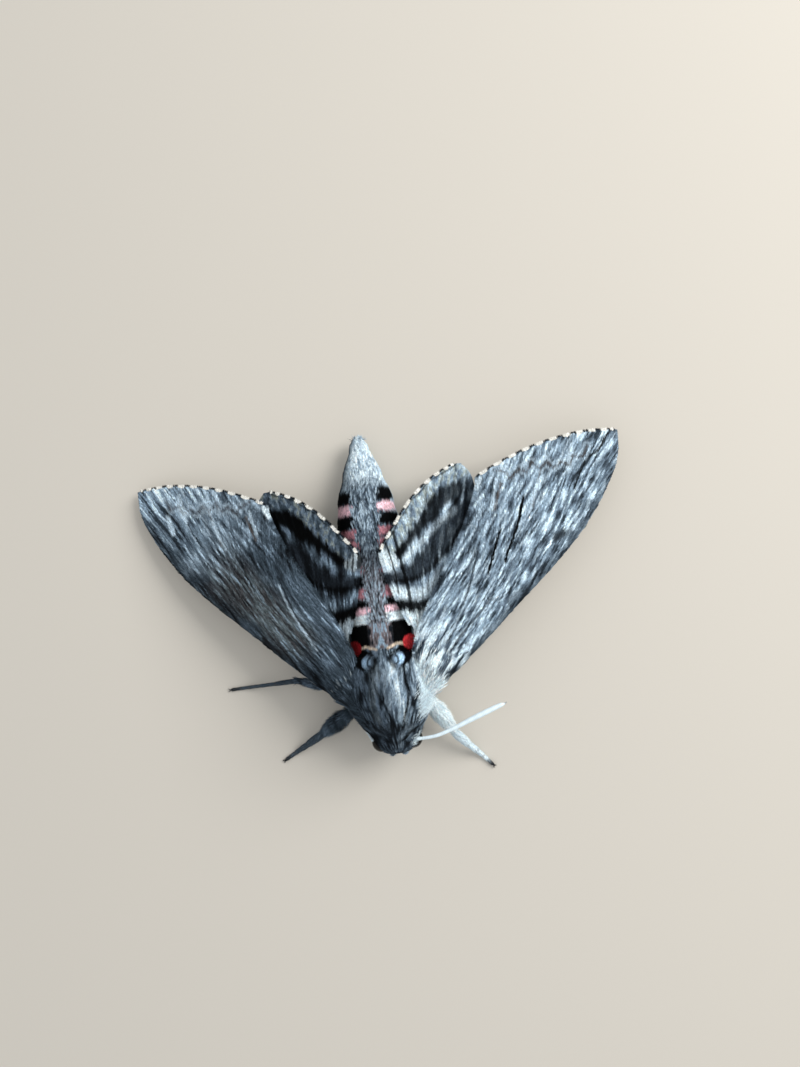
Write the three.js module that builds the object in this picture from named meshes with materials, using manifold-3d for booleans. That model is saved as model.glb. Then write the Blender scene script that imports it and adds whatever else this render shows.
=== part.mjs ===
// Convolvulus hawk moth, life size, at rest on a level floor with its wings half spread.
//
// Millimetres, +Z up. The head faces -Y and the tail +Y, so the moth's left side is +X. While
// the pieces are made, y runs back from the front of the head, x out from the middle of the
// body and z up from the floor. The last lines put the origin in the middle of the footprint.

import * as THREE from 'three';
import { mergeVertices } from 'three/addons/utils/BufferGeometryUtils.js';
import Module from 'manifold-3d';

const wasm = await Module();
wasm.setup();

// ---- Driving dimensions, millimetres and degrees ------------------------------------------

const BODY_LENGTH = 51.6;          // front of the head to the tip of the tail brush
const FOREWING_LENGTH = 52.3;      // hinge to wing tip
const THORAX_HALF_WIDTH = 6.7;
const THORAX_TOP = 12.3;
const PIECE_GAP = 0.3;             // clear space where two pieces meet
const WING_THICKNESS = 0.56;

const THORAX_FRONT = 4.2;
const THORAX_BACK = 16.0;
const ABDOMEN_BACK = 48.6;         // the tail brush takes over here
const ABDOMEN_RINGS = 7;

const FOREWING_HINGE = { out: 6.5, back: 8.2, up: 9.7 };
// How each forewing is held: its angle from the body's line, how far the tip hangs below the
// hinge, and how far the hind edge is rolled above the leading edge.
const FOREWING_POSE = {
  left: { sweep: 43.0, droop: 5.6, roll: 5.6 },
  right: { sweep: 38.5, droop: 9.1, roll: 7.6 },
};
const FOREWING_CAMBER = 0.55;
const HINDWING_CREST = { height: 8.75, out: 3.4, back: 22.5 };

const EYE_RADIUS = 1.55;
const EYE_CENTRE = { out: 2.5, back: 2.15, up: 5.2 };
const PALP_RADIUS = { end: 0.28, swell: 0.36, foot: 0.18 };
const TONGUE_ROLL = { radius: 1.25, halfDepth: 0.3, bevel: 0.12, back: 1.75, up: 1.75 };

// Half thickness of the legs: a thigh or shin goes from its top to its foot end, swells in
// between, and its middle rises by the arch.
const THIGH = { top: 0.5, foot: 0.62, swell: 0.16, arch: 0.2 };
const SHIN = { top: 0.62, foot: 0.46, swell: 0.26, arch: 0.1 };
const FORE_SHIN = { top: 0.78, foot: 0.46, swell: 0.46, arch: 0.1 };
const FOOT = { top: 0.42, tip: 0.27, heelUp: 0.32, tipUp: 0.24, arch: 0.25 };
const FOOT_REST = 2.6;             // length at the tip of each foot that lies on the floor
const JOINT_GAP = 0.5;

const FEELER = { root: 0.27, swell: 0.16, lateness: 2.4 };
const RING_SWELL = 0.12;           // each ring of the abdomen, and the tail brush
const FOREWING_FULL_ARCH = 0.2;    // the arch is already deep at the hinge

// ---- Colours and finishes -----------------------------------------------------------------

const finish = (color, roughness, metalness = 0) =>
  new THREE.MeshStandardMaterial({ color, roughness, metalness });

const FINISHES = {
  greyFur: finish('#6f747b', 0.95),
  ashFur: finish('#8b8d92', 0.95),
  forewing: finish('#7f8890', 0.85),
  hindwing: finish('#6b6c6e', 0.85),
  eye: finish('#1c1512', 0.15),
  paleFur: finish('#c9cdd2', 0.95),
  antenna: finish('#ded9cf', 0.6),
  tarsus: finish('#4b4644', 0.7),
  tongue: finish('#4a2f1d', 0.45),
};

// ---- Building helpers ---------------------------------------------------------------------

const floorClamp = (point) => {
  point.z = Math.max(point.z, 0);
  return point;
};

// Joins rings of points, all of one length, into a closed body with a fan over each end.
function loft(rings) {
  const sides = rings[0].length;
  const positions = rings.flat().flatMap((p) => [p.x, p.y, p.z]);
  const index = [];
  for (let r = 0; r < rings.length - 1; r += 1) {
    for (let s = 0; s < sides; s += 1) {
      const a = r * sides + s;
      const b = r * sides + ((s + 1) % sides);
      index.push(a, b, a + sides, b, b + sides, a + sides);
    }
  }
  const fan = (ring, flipped) => {
    const centre = ring.reduce((sum, p) => sum.add(p), new THREE.Vector3());
    centre.divideScalar(sides);
    const hub = positions.length / 3;
    positions.push(centre.x, centre.y, centre.z);
    const start = flipped ? (rings.length - 1) * sides : 0;
    for (let s = 0; s < sides; s += 1) {
      const a = start + s;
      const b = start + ((s + 1) % sides);
      index.push(hub, ...(flipped ? [a, b] : [b, a]));
    }
  };
  fan(rings[0], false);
  fan(rings[rings.length - 1], true);
  const geometry = new THREE.BufferGeometry();
  geometry.setAttribute('position', new THREE.Float32BufferAttribute(positions, 3));
  geometry.setIndex(index);
  return outward(geometry);
}

// Turns every face round when the closed body has come out inside out.
function outward(geometry) {
  const p = geometry.attributes.position;
  const index = geometry.index.array;
  const corners = [new THREE.Vector3(), new THREE.Vector3(), new THREE.Vector3()];
  let volume = 0;
  for (let i = 0; i < index.length; i += 3) {
    corners.forEach((corner, k) => corner.fromBufferAttribute(p, index[i + k]));
    volume += corners[0].dot(corners[1].cross(corners[2]));
  }
  if (volume < 0) {
    for (let i = 0; i < index.length; i += 3) {
      [index[i + 1], index[i + 2]] = [index[i + 2], index[i + 1]];
    }
  }
  return geometry;
}

// Reads a smooth value from stations of [y, value], each a few millimetres apart.
function profile(stations) {
  const curve = new THREE.SplineCurve(stations.map(([y, v]) => new THREE.Vector2(y, v)));
  const SAMPLES = 160;
  const points = curve.getPoints(SAMPLES);
  return (y) => {
    const k = Math.max(1, points.findIndex((p) => p.x >= y));
    const [a, b] = y > points[SAMPLES].x ? points.slice(-2) : [points[k - 1], points[k]];
    return THREE.MathUtils.mapLinear(y, a.x, b.x, a.y, b.y);
  };
}

// One cross-section of the body: a full oval, flattened where it lies on the floor.
function bodyRing(y, halfWidth, top, bottom, sides, swell = 0) {
  const middle = (top + bottom) / 2;
  const ring = [];
  for (let s = 0; s < sides; s += 1) {
    const angle = (s / sides) * 2 * Math.PI;
    const x = (halfWidth + swell) * Math.cos(angle);
    const z = middle + ((top - bottom) / 2 + swell) * Math.sin(angle);
    ring.push(floorClamp(new THREE.Vector3(x, y, z)));
  }
  return ring;
}

// A limb or feeler: round sections along a smooth path, each with its own radius.
function limb(path, radii, sides, steps) {
  const curve = new THREE.CatmullRomCurve3(path.map((p) => new THREE.Vector3(...p)));
  const frames = curve.computeFrenetFrames(steps, false);
  const rings = [];
  for (let i = 0; i <= steps; i += 1) {
    const t = i / steps;
    const centre = curve.getPointAt(t);
    const radius = radii(t);
    const ring = [];
    for (let s = 0; s < sides; s += 1) {
      const angle = (s / sides) * 2 * Math.PI;
      ring.push(floorClamp(centre.clone()
        .addScaledVector(frames.normals[i], radius * Math.cos(angle))
        .addScaledVector(frames.binormals[i], radius * Math.sin(angle))));
    }
    rings.push(ring);
  }
  return loft(rings);
}

// A wing: ribs run from the leading edge to the hind edge, and each point has a top and a
// bottom. place(point, ribFraction, chordFraction) gives the middle surface.
function wingPlate(leading, hind, ribs, cells, place) {
  const edgeFront = new THREE.SplineCurve(leading.map((p) => new THREE.Vector2(...p)));
  const edgeHind = new THREE.SplineCurve(hind.map((p) => new THREE.Vector2(...p)));
  const rings = [];
  for (let i = 0; i <= ribs; i += 1) {
    const t = i / ribs;
    const front = edgeFront.getPoint(t);
    const back = edgeHind.getPoint(t);
    const upper = [];
    const lower = [];
    for (let j = 0; j <= cells; j += 1) {
      const middle = place(front.clone().lerp(back, j / cells), t, j / cells);
      upper.push(middle.clone().setZ(middle.z + WING_THICKNESS / 2));
      lower.push(middle.clone().setZ(middle.z - WING_THICKNESS / 2));
    }
    rings.push([...upper, ...lower.reverse()]);
  }
  return loft(rings);
}

const mirrored = (geometry) => {
  const copy = geometry.clone();
  copy.scale(-1, 1, 1);
  return outward(copy);
};

// ---- Joining and cutting ------------------------------------------------------------------

function solid(geometry) {
  const bare = new THREE.BufferGeometry();
  bare.setAttribute('position', geometry.attributes.position.clone());
  bare.setIndex(geometry.index ? [...geometry.index.array] : null);
  const merged = mergeVertices(bare, 1e-4);
  return new wasm.Manifold(new wasm.Mesh({
    numProp: 3,
    vertProperties: new Float32Array(merged.attributes.position.array),
    triVerts: new Uint32Array(merged.index.array),
  }));
}

function geometryOf(manifold) {
  const mesh = manifold.getMesh();
  const geometry = new THREE.BufferGeometry();
  geometry.setAttribute('position', new THREE.BufferAttribute(mesh.vertProperties, 3));
  geometry.setIndex(new THREE.BufferAttribute(mesh.triVerts, 1));
  return geometry;
}

// What is left of a piece once its neighbours, grown by the gap, are taken away. Only the
// largest body is kept, so a clipped wing root leaves no crumb behind.
function clearOf(geometry, ...neighbours) {
  let rest = solid(geometry);
  neighbours.forEach((neighbour) => {
    rest = rest.subtract(solid(neighbour));
  });
  const bodies = rest.decompose().sort((a, b) => b.volume() - a.volume());
  return geometryOf(bodies[0]);
}

// ---- Body outline: half width, top and bottom along the body ------------------------------

const thoraxHalfWidth = profile([
  [3.6, 4.0], [5.2, 4.9], [7.0, 5.8], [9.2, 6.4], [12.0, THORAX_HALF_WIDTH], [14.4, 6.5],
  [17.0, 5.9],
]);
const thoraxTop = profile([
  [3.6, 8.9], [5.2, 10.2], [7.4, 11.5], [10.2, THORAX_TOP], [13.0, 12.2], [15.0, 11.5],
  [17.0, 10.4],
]);
const thoraxBottom = profile([
  [3.6, 2.9], [6.0, 1.7], [9.0, 1.1], [12.0, 1.0], [14.5, 0.9], [17.0, 0.7],
]);
const abdomenHalfWidth = profile([
  [15.6, 5.6], [20.0, 5.5], [25.0, 5.5], [30.0, 5.4], [35.0, 5.2], [39.0, 5.0], [42.0, 4.4],
  [45.0, 3.5], [47.5, 2.6], [49.5, 1.8], [BODY_LENGTH, 0.9],
]);
const abdomenTop = profile([
  [15.6, 9.9], [20.0, 9.2], [25.0, 8.8], [30.0, 8.4], [35.0, 7.9], [40.0, 7.1], [43.0, 6.3],
  [46.0, 5.3], [49.0, 4.2], [BODY_LENGTH, 3.1],
]);
const abdomenBottom = profile([
  [15.6, 0.8], [20.0, 0.1], [25.0, -0.3], [32.0, -0.4], [38.0, -0.3], [42.0, 0.1], [46.0, 0.6],
  [49.0, 1.1], [BODY_LENGTH, 1.5],
]);

function thoraxSolid(grow = 0) {
  const ROWS = 13;
  const SIDES = 28;
  const rings = [];
  for (let r = 0; r <= ROWS; r += 1) {
    const y = THREE.MathUtils.lerp(THORAX_FRONT - grow, THORAX_BACK + grow, r / ROWS);
    rings.push(bodyRing(y, thoraxHalfWidth(y), thoraxTop(y), thoraxBottom(y), SIDES, grow));
  }
  return loft(rings);
}

// A stretch of the abdomen. A ring of it swells a little between its ends.
function abdomenStretch(from, to, rows, swell, grow = 0) {
  const SIDES = 24;
  const rings = [];
  for (let r = 0; r <= rows; r += 1) {
    const t = r / rows;
    const y = THREE.MathUtils.lerp(from, to, t);
    const bulge = swell * Math.sin(Math.PI * t) + grow;
    rings.push(bodyRing(y, abdomenHalfWidth(y), abdomenTop(y), abdomenBottom(y), SIDES, bulge));
  }
  return loft(rings);
}

// ---- Head, eyes, palps and tongue ---------------------------------------------------------

const HEAD_FRONT = 0.35;
const HEAD_BACK = THORAX_FRONT - PIECE_GAP;
const headHalfWidth = profile([
  [HEAD_FRONT, 1.6], [0.8, 2.35], [1.4, 2.95], [2.4, 3.55], [3.4, 4.0], [4.6, 4.45],
]);
const headTop = profile([
  [HEAD_FRONT, 6.9], [0.8, 7.5], [1.4, 8.0], [2.4, 8.6], [3.4, 9.05], [4.6, 9.4],
]);
const headBottom = profile([
  [HEAD_FRONT, 5.6], [0.8, 4.9], [1.4, 4.2], [2.4, 3.4], [3.4, 3.0], [4.6, 2.8],
]);

function headSolid() {
  const ROWS = 7;
  const SIDES = 20;
  const rings = [];
  for (let r = 0; r <= ROWS; r += 1) {
    const y = THREE.MathUtils.lerp(HEAD_FRONT, HEAD_BACK, (r / ROWS) ** 1.3);
    rings.push(bodyRing(y, headHalfWidth(y), headTop(y), headBottom(y), SIDES));
  }
  return loft(rings);
}

const eyeBall = (side, grow = 0) => {
  const ball = new THREE.SphereGeometry(EYE_RADIUS + grow, 14, 8);
  ball.deleteAttribute('uv');
  ball.deleteAttribute('normal');
  const merged = mergeVertices(ball, 1e-4);
  merged.translate(side * EYE_CENTRE.out, EYE_CENTRE.back, EYE_CENTRE.up);
  return merged;
};

// The two palps stand in front of the face, broad below and blunt above.
function palp(side, grow = 0) {
  const path = [[side * 0.95, 1.1, 3.2 - grow], [side * 1.0, 0.7, 4.1], [side * 1.0, 0.25, 5.1],
    [side * 0.9, 0.2, 6.1 + 1.5 * grow]];
  const { end, swell, foot } = PALP_RADIUS;
  const radii = (t) =>
    grow + end + swell * Math.sin(Math.PI * THREE.MathUtils.lerp(foot, 1, t));
  return limb(path, radii, 8, 6);
}

// The tongue lies rolled up like a watch spring under the face.
function tongueRoll() {
  const { radius, halfDepth, bevel, back, up } = TONGUE_ROLL;
  const outline = [
    [0, -halfDepth], [radius - bevel, -halfDepth], [radius, -halfDepth + bevel],
    [radius, halfDepth - bevel], [radius - bevel, halfDepth], [0, halfDepth],
  ].map(([r, h]) => new THREE.Vector2(r, h));
  const roll = new THREE.LatheGeometry(outline, 20);
  roll.deleteAttribute('uv');
  roll.deleteAttribute('normal');
  const merged = mergeVertices(roll, 1e-4);
  merged.rotateZ(Math.PI / 2);
  merged.translate(0, back, up);
  return outward(merged);
}

// ---- Wings --------------------------------------------------------------------------------

// Forewing plan from the hinge: [along the wing, towards the hind edge]. Rib by rib, the two
// lists run from the hinge to the tip. The hind list turns the rear corner at its ninth point.
const L = FOREWING_LENGTH;
const FOREWING_LEADING = [
  [0, 0], [3.3, -0.2], [6.5, -0.7], [13, -1.8], [19.5, -2.7], [26, -3.7], [31, -4.3],
  [34.5, -4.55], [37.5, -4.5], [41, -4.3], [44.3, -3.8], [47.4, -3.1], [50, -1.9], [L, -0.15],
];
const FOREWING_HIND = [
  [0.6, 2.6], [2.4, 4.8], [5, 7.1], [11, 8.9], [17.5, 10.1], [24, 11.3], [28.5, 12.5],
  [31.2, 13.5], [32.9, 14.2], [37.3, 12.4], [41.5, 10.2], [45.5, 7.5], [49.3, 4.2],
  [L + 0.05, 0.5],
];
const FOREWING_RIBS = 34;
const FOREWING_CELLS = 4;

function forewing(side, held) {
  const radians = THREE.MathUtils.degToRad;
  const sweep = new THREE.Matrix4().makeRotationZ(radians(-held.sweep));
  const droop = new THREE.Matrix4().makeRotationX(radians(-held.droop));
  const roll = new THREE.Matrix4().makeRotationY(radians(held.roll));
  const pose = sweep.multiply(droop).multiply(roll);
  pose.setPosition(FOREWING_HINGE.out, FOREWING_HINGE.back, FOREWING_HINGE.up);
  const place = (plan, t, across) => {
    const along = Math.sin(Math.PI * Math.min(1, t + FOREWING_FULL_ARCH));
    const arch = 4 * across * (1 - across) * FOREWING_CAMBER * along;
    return new THREE.Vector3(-plan.y, plan.x, arch).applyMatrix4(pose);
  };
  const left = wingPlate(FOREWING_LEADING, FOREWING_HIND, FOREWING_RIBS, FOREWING_CELLS, place);
  const whole = side > 0 ? left : mirrored(left);
  return clearOf(whole, thoraxSolid(PIECE_GAP));
}

// Hindwing plan: [out from the middle of the body, back from the front of the head]. It hangs
// from the crest over the abdomen's back, slopes down towards its leading edge and arches.
const HINDWING_SLOPE = 0.17;
const HINDWING_BEND = { out: 0.004, back: 0.0023 };
const HINDWING_LEADING = [
  [5.9, 14.6], [8.0, 17.0], [10.4, 19.8], [13.2, 24.0], [15.6, 29.2], [17.3, 34.6],
  [18.0, 38.6], [18.0, 41.4], [17.4, 43.3], [16.3, 44.6],
];
const HINDWING_HIND = [
  [5.5, 16.8], [4.6, 19.6], [3.4, 22.6], [2.5, 25.8], [1.7, 29.2], [1.5, 32.0],
  [3.6, 35.2], [7.4, 39.9], [11.4, 43.1], [15.2, 44.9],
];
const HINDWING_RIBS = 26;
const HINDWING_CELLS = 4;

function hindwing(side) {
  const place = (plan) => {
    const out = plan.x - HINDWING_CREST.out;
    const back = plan.y - HINDWING_CREST.back;
    const height = HINDWING_CREST.height - HINDWING_SLOPE * out
      - HINDWING_BEND.out * out ** 2 - HINDWING_BEND.back * back ** 2;
    return new THREE.Vector3(plan.x, plan.y, height);
  };
  const left = wingPlate(HINDWING_LEADING, HINDWING_HIND, HINDWING_RIBS, HINDWING_CELLS, place);
  const whole = side > 0 ? left : mirrored(left);
  const abdomen = abdomenStretch(THORAX_BACK, ABDOMEN_BACK, 14, 0, PIECE_GAP);
  return clearOf(whole, thoraxSolid(PIECE_GAP), abdomen);
}

// ---- Legs ---------------------------------------------------------------------------------

// Each leg is a thigh, a shin and a long thin foot. The points are the hip, the knee, the
// ankle and the tip of the foot, as [out to that leg's own side, back, up].
const LEGS = {
  foreleg_left: [1, [3.9, 8.8, 1.7], [5.9, 7.5, 4.2], [9.4, 1.4, 2.5], [14.6, -4.7, 0.3]],
  foreleg_right: [-1, [4.2, 8.4, 1.8], [7.2, 7.2, 4.2], [12.9, 3.9, 2.5], [19.5, 0.4, 0.3]],
  midleg_left: [1, [4.8, 11.9, 1.8], [9.1, 13.6, 4.4], [13.6, 19.2, 2.6], [20.8, 28.0, 0.3]],
  midleg_right: [-1, [4.8, 11.4, 1.8], [9.8, 11.8, 4.2], [15.2, 13.3, 2.8], [27.3, 13.1, 0.3]],
  hindleg_left: [1, [4.6, 15.0, 1.7], [8.6, 18.6, 4.2], [9.6, 29.4, 2.2], [9.4, 39.6, 0.3]],
  hindleg_right: [-1, [4.6, 15.0, 1.7], [8.6, 18.6, 4.2], [9.6, 29.4, 2.2], [9.4, 39.6, 0.3]],
};

// The straight run between two joints, short of each by half the gap.
function between(from, to, grow = 0) {
  const a = new THREE.Vector3(...from);
  const b = new THREE.Vector3(...to);
  const along = b.clone().sub(a).normalize();
  const short = JOINT_GAP / 2 - grow;
  return [a.addScaledVector(along, short), b.addScaledVector(along, -short)];
}

// A thigh or shin, which rises a little in its middle.
function legPiece(from, to, { top, foot, swell, arch }, grow = 0) {
  const [a, b] = between(from, to, grow);
  const middle = a.clone().lerp(b, 0.5);
  middle.z += arch;
  const radii = (t) =>
    grow + THREE.MathUtils.lerp(top, foot, t) + swell * Math.sin(Math.PI * t ** 0.75);
  return limb([a.toArray(), middle.toArray(), b.toArray()], radii, 8, 5);
}

// The foot comes down from the ankle and its last stretch lies flat on the floor.
function footPiece(from, to) {
  const [a, tip] = between(from, to);
  const heel = tip.clone().lerp(a, FOOT_REST / tip.distanceTo(a));
  heel.z = FOOT.heelUp;
  const middle = a.clone().lerp(heel, 0.5);
  middle.z += FOOT.arch;
  tip.z = FOOT.tipUp;
  const radii = (t) => THREE.MathUtils.lerp(FOOT.top, FOOT.tip, t);
  return limb([a, middle, heel, tip].map((p) => p.toArray()), radii, 8, 8);
}

function leg(name, [side, hip, knee, ankle, tip]) {
  const at = ([out, back, up]) => [side * out, back, up];
  const thigh = (grow) => legPiece(at(hip), at(knee), THIGH, grow);
  const shinShape = name.startsWith('foreleg') ? FORE_SHIN : SHIN;
  const shin = legPiece(at(knee), at(ankle), shinShape);
  const fur = name === 'foreleg_left' ? FINISHES.paleFur : FINISHES.ashFur;
  return [
    piece(`${name}_thigh`, clearOf(thigh(0), thoraxSolid(PIECE_GAP)), fur),
    piece(`${name}_shin`, clearOf(shin, thigh(PIECE_GAP)), fur),
    piece(`${name}_foot`, footPiece(at(ankle), at(tip)), FINISHES.tarsus),
  ];
}

// ---- Feelers ------------------------------------------------------------------------------

// Slender at the root, stoutest three quarters of the way out, drawn to a fine hooked point.
const feelerRadius = (t) =>
  FEELER.root + FEELER.swell * Math.sin(Math.PI * t ** FEELER.lateness);

// One stands out to the side. The other is tucked down behind the eye and under the forewing.
const FEELERS = {
  antenna_left: [[3.55, 2.25, 7.5], [6.4, 2.4, 7.65], [9.4, 3.2, 7.5], [11.9, 4.05, 7.3],
    [14.6, 4.9, 7.0], [16.6, 5.5, 6.7], [17.85, 5.8, 6.5]],
  antenna_right: [[-3.75, 2.9, 7.2], [-4.3, 3.8, 5.9], [-5.2, 5.2, 4.9], [-6.3, 7.7, 5.0],
    [-6.95, 10.4, 5.1], [-7.5, 14.4, 5.3], [-7.8, 16.4, 5.2]],
};
const feeler = (name, grow = 0) => limb(FEELERS[name], (t) => grow + feelerRadius(t), 8, 12);

// ---- The moth -----------------------------------------------------------------------------

function piece(name, geometry, material) {
  const mesh = new THREE.Mesh(geometry, material);
  mesh.name = name;
  return mesh;
}

const SIDES = { left: 1, right: -1 };
const eyes = Object.entries(SIDES).map(([label, side]) =>
  piece(`eye_${label}`, eyeBall(side), FINISHES.eye));
const headHollows = Object.values(SIDES).flatMap((side) =>
  [eyeBall(side, PIECE_GAP), palp(side, PIECE_GAP)]);

const tuckedGroove = feeler('antenna_right', PIECE_GAP);

const head = piece('head', clearOf(headSolid(), ...headHollows, tuckedGroove), FINISHES.greyFur);
const palps = Object.entries(SIDES).map(([label, side]) =>
  piece(`palp_${label}`, palp(side), FINISHES.ashFur));
const tongue = piece('tongue', tongueRoll(), FINISHES.tongue);
const thorax = piece('thorax', thoraxSolid(), FINISHES.greyFur);

const abdomen = [];
const ringLength = (ABDOMEN_BACK - THORAX_BACK) / ABDOMEN_RINGS;
for (let ring = 0; ring < ABDOMEN_RINGS; ring += 1) {
  const from = THORAX_BACK + ring * ringLength + PIECE_GAP;
  const to = THORAX_BACK + (ring + 1) * ringLength;
  abdomen.push(piece(`abdomen_${ring + 1}`, abdomenStretch(from, to, 3, RING_SWELL), FINISHES.ashFur));
}
const tailBrush = piece('tail_brush',
  abdomenStretch(ABDOMEN_BACK + PIECE_GAP, BODY_LENGTH, 3, RING_SWELL), FINISHES.ashFur);

const wings = Object.entries(SIDES).flatMap(([label, side]) => [
  piece(`forewing_${label}`, forewing(side, FOREWING_POSE[label]), FINISHES.forewing),
  piece(`hindwing_${label}`, hindwing(side), FINISHES.hindwing),
]);
const legs = Object.entries(LEGS).flatMap(([name, points]) => leg(name, points));
const feelers = Object.keys(FEELERS).map((name) => piece(name, feeler(name), FINISHES.antenna));

const moth = new THREE.Group();
moth.add(head, ...eyes, ...palps, tongue, ...feelers, thorax, ...abdomen, tailBrush, ...wings,
  ...legs);

// The origin goes to the middle of the footprint, on the floor.
const span = new THREE.Box3().setFromObject(moth);
const middle = span.getCenter(new THREE.Vector3());
moth.position.set(-middle.x, -middle.y, -span.min.z);

export default moth;
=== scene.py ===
# %% [markdown]
# # Convolvulus hawk moth, life size, resting with its wings half spread
# A moth is fur, scales and a little bare horn. Blender could grow the fur as particles, but
# here every hair and scale is a real mesh, so that the finished model keeps it in any other
# program. The first cell loads the measured solids, which fix every size and place.

# %% The measured solids
import math
import bpy
import numpy as np
from mathutils import Matrix, Vector


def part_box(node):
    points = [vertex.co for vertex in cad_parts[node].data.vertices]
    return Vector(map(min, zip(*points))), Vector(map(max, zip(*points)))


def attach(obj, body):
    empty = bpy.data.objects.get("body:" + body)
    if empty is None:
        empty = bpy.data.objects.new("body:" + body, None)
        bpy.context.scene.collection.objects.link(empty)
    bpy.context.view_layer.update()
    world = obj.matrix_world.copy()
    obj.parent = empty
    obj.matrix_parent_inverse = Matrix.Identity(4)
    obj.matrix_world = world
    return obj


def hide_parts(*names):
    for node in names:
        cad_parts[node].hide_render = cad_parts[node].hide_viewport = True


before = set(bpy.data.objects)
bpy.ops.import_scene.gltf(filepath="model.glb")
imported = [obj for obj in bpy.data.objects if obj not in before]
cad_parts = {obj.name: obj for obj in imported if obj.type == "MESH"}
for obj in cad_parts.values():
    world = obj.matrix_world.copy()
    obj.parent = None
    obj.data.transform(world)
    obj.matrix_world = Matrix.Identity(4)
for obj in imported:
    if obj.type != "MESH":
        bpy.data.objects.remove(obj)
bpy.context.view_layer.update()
print("solids loaded:", len(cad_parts))

# %% [markdown]
# The moth is measured in millimetres from its own nose: out to its left, back along its body
# and up from the floor. Blender works in metres, so two small helpers change one into the
# other. The tip of the tail brush says where the nose is.

# %% Moth millimetres and frame metres
MM = 0.001
BODY_LENGTH = 51.6
tail_low, tail_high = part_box("tail_brush")
NOSE = np.array(((tail_low.x + tail_high.x) / 2, tail_high.y - BODY_LENGTH * MM, 0.0))


def in_frame(points):
    """Moth millimetres become metres of the shared frame."""
    return np.asarray(points, float) * MM + NOSE


def in_moth(points):
    """Metres of the shared frame become moth millimetres."""
    return (np.asarray(points, float) - NOSE) / MM


print("nose at", NOSE.round(5), "metres")

# %% [markdown]
# The camera looks almost straight down on the moth's back from about a hand's length, and is
# turned a little, so that the tail leans to one side. Its direction is worked out from two
# places, where it hangs and what it looks at, and from the way that is up in its view.

# %% Camera
CAMERA_AT = (12.79, 23.01, 134.5)
CAMERA_LOOKS_AT = (4.73, 35.11, 0.0)
VIEW_UP_TURN = math.radians(8.1)
CAMERA_LENS = 27.06
NEAREST_SEEN = 0.005

eye_point = Vector(in_frame(CAMERA_AT))
gaze = (Vector(in_frame(CAMERA_LOOKS_AT)) - eye_point).normalized()
view_up = Vector((math.sin(VIEW_UP_TURN), math.cos(VIEW_UP_TURN), 0))
view_right = gaze.cross(view_up).normalized()
true_up = view_right.cross(gaze)
bpy.ops.object.camera_add(location=eye_point)
camera = bpy.context.object
camera.rotation_euler = Matrix((view_right, true_up, -gaze)).transposed().to_euler()
camera.data.lens = CAMERA_LENS
camera.data.clip_start = NEAREST_SEEN
bpy.context.scene.camera = camera
print("camera right", [round(c, 4) for c in view_right])

# %% [markdown]
# The floor is plain and pale, and big enough to reach the horizon when the moth is seen from the side. The
# light is that of a plain studio: an even sky, and one soft lamp on the moth's left, which makes one flank
# bright and lets the other fall into shade. The colours add to that: much of the moth's left side is
# painted lighter, as painted light, and its right side darker, as painted shade. A helper makes each
# material from the settings of its shader, by the names that Blender shows.

# %% Floor and light
FLOOR_SIZE = 6.0
FLOOR_COLOUR = (0.60, 0.565, 0.505, 1)
SKY_COLOUR = (0.96, 0.98, 1.0, 1)
SKY_LEVEL = 0.70
LAMP_COLOUR = (1.0, 0.985, 0.96)
LAMP_POWER = 2.45
LAMP_SIZE = 0.30
LAMP_DISTANCE = 0.50
LAMP_HEIGHT_ANGLE = math.radians(33)
LAMP_TURN = math.radians(24)


def new_material(name, settings):
    """A material, and its shader with these settings changed."""
    material = bpy.data.materials.new(name)
    material.use_nodes = True
    shader = material.node_tree.nodes["Principled BSDF"]
    for setting, value in settings.items():
        shader.inputs[setting].default_value = value
    return material, shader


bpy.ops.mesh.primitive_plane_add(size=FLOOR_SIZE, location=(0, 0, 0))
floor = bpy.context.object
floor.name = "floor"
pale_floor = {"Base Color": FLOOR_COLOUR, "Roughness": 0.9, "Specular IOR Level": 0.2}
floor.data.materials.append(new_material("pale_floor", pale_floor)[0])

world = bpy.data.worlds.new("plain_sky")
bpy.context.scene.world = world
world.use_nodes = True
sky = world.node_tree.nodes["Background"]
sky.inputs["Color"].default_value = SKY_COLOUR
sky.inputs["Strength"].default_value = SKY_LEVEL

lamp_way = Vector((math.cos(LAMP_TURN) * math.cos(LAMP_HEIGHT_ANGLE),
                   math.sin(LAMP_TURN) * math.cos(LAMP_HEIGHT_ANGLE),
                   math.sin(LAMP_HEIGHT_ANGLE)))
bpy.ops.object.light_add(type="AREA", location=lamp_way * LAMP_DISTANCE)
lamp = bpy.context.object
lamp.rotation_euler = lamp_way.to_track_quat("Z", "Y").to_euler()
lamp.data.size = LAMP_SIZE
lamp.data.energy = LAMP_POWER
lamp.data.color = LAMP_COLOUR
bpy.context.scene.view_settings.view_transform = "Standard"
print("lamp at", [round(c, 3) for c in lamp.location], "metres")

# %% [markdown]
# All the markings are painted by rules: a colour, a place on the moth, and how softly it
# ends. The rules work on lists of points at once. Colours are written as they look on a
# screen and turned into the linear values that Blender mixes.

# %% Colours


def paint(code):
    """A colour written in six hex digits, as linear red, green and blue."""
    screen = np.array([int(code[k:k + 2], 16) for k in (0, 2, 4)]) / 255
    return np.where(screen <= 0.04045, screen / 12.92, ((screen + 0.055) / 1.055) ** 2.4)


BLACK = paint("040506")
SOOT = paint("1b2026")
SLATE = paint("424f5a")
STEEL = paint("68798a")
ASH = paint("8ea4b6")
FROST = paint("c2d7e6")
WHITE = paint("e6f7ff")
CREAM = paint("efeee6")
OLIVE = paint("7d8580")
MAUVE = paint("8d8488")
TAN = paint("e4d0b8")
PINK = paint("e3bcc6")
ROSE = paint("b07983")
RED = paint("b02a30")
BLUE = paint("9dbbd6")
UMBER = paint("54483e")

# %% [markdown]
# A few small tools do all the painting. The first give the distance from each point to a
# smooth line drawn through a few places, and turn such a value into a soft edge.

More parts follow.
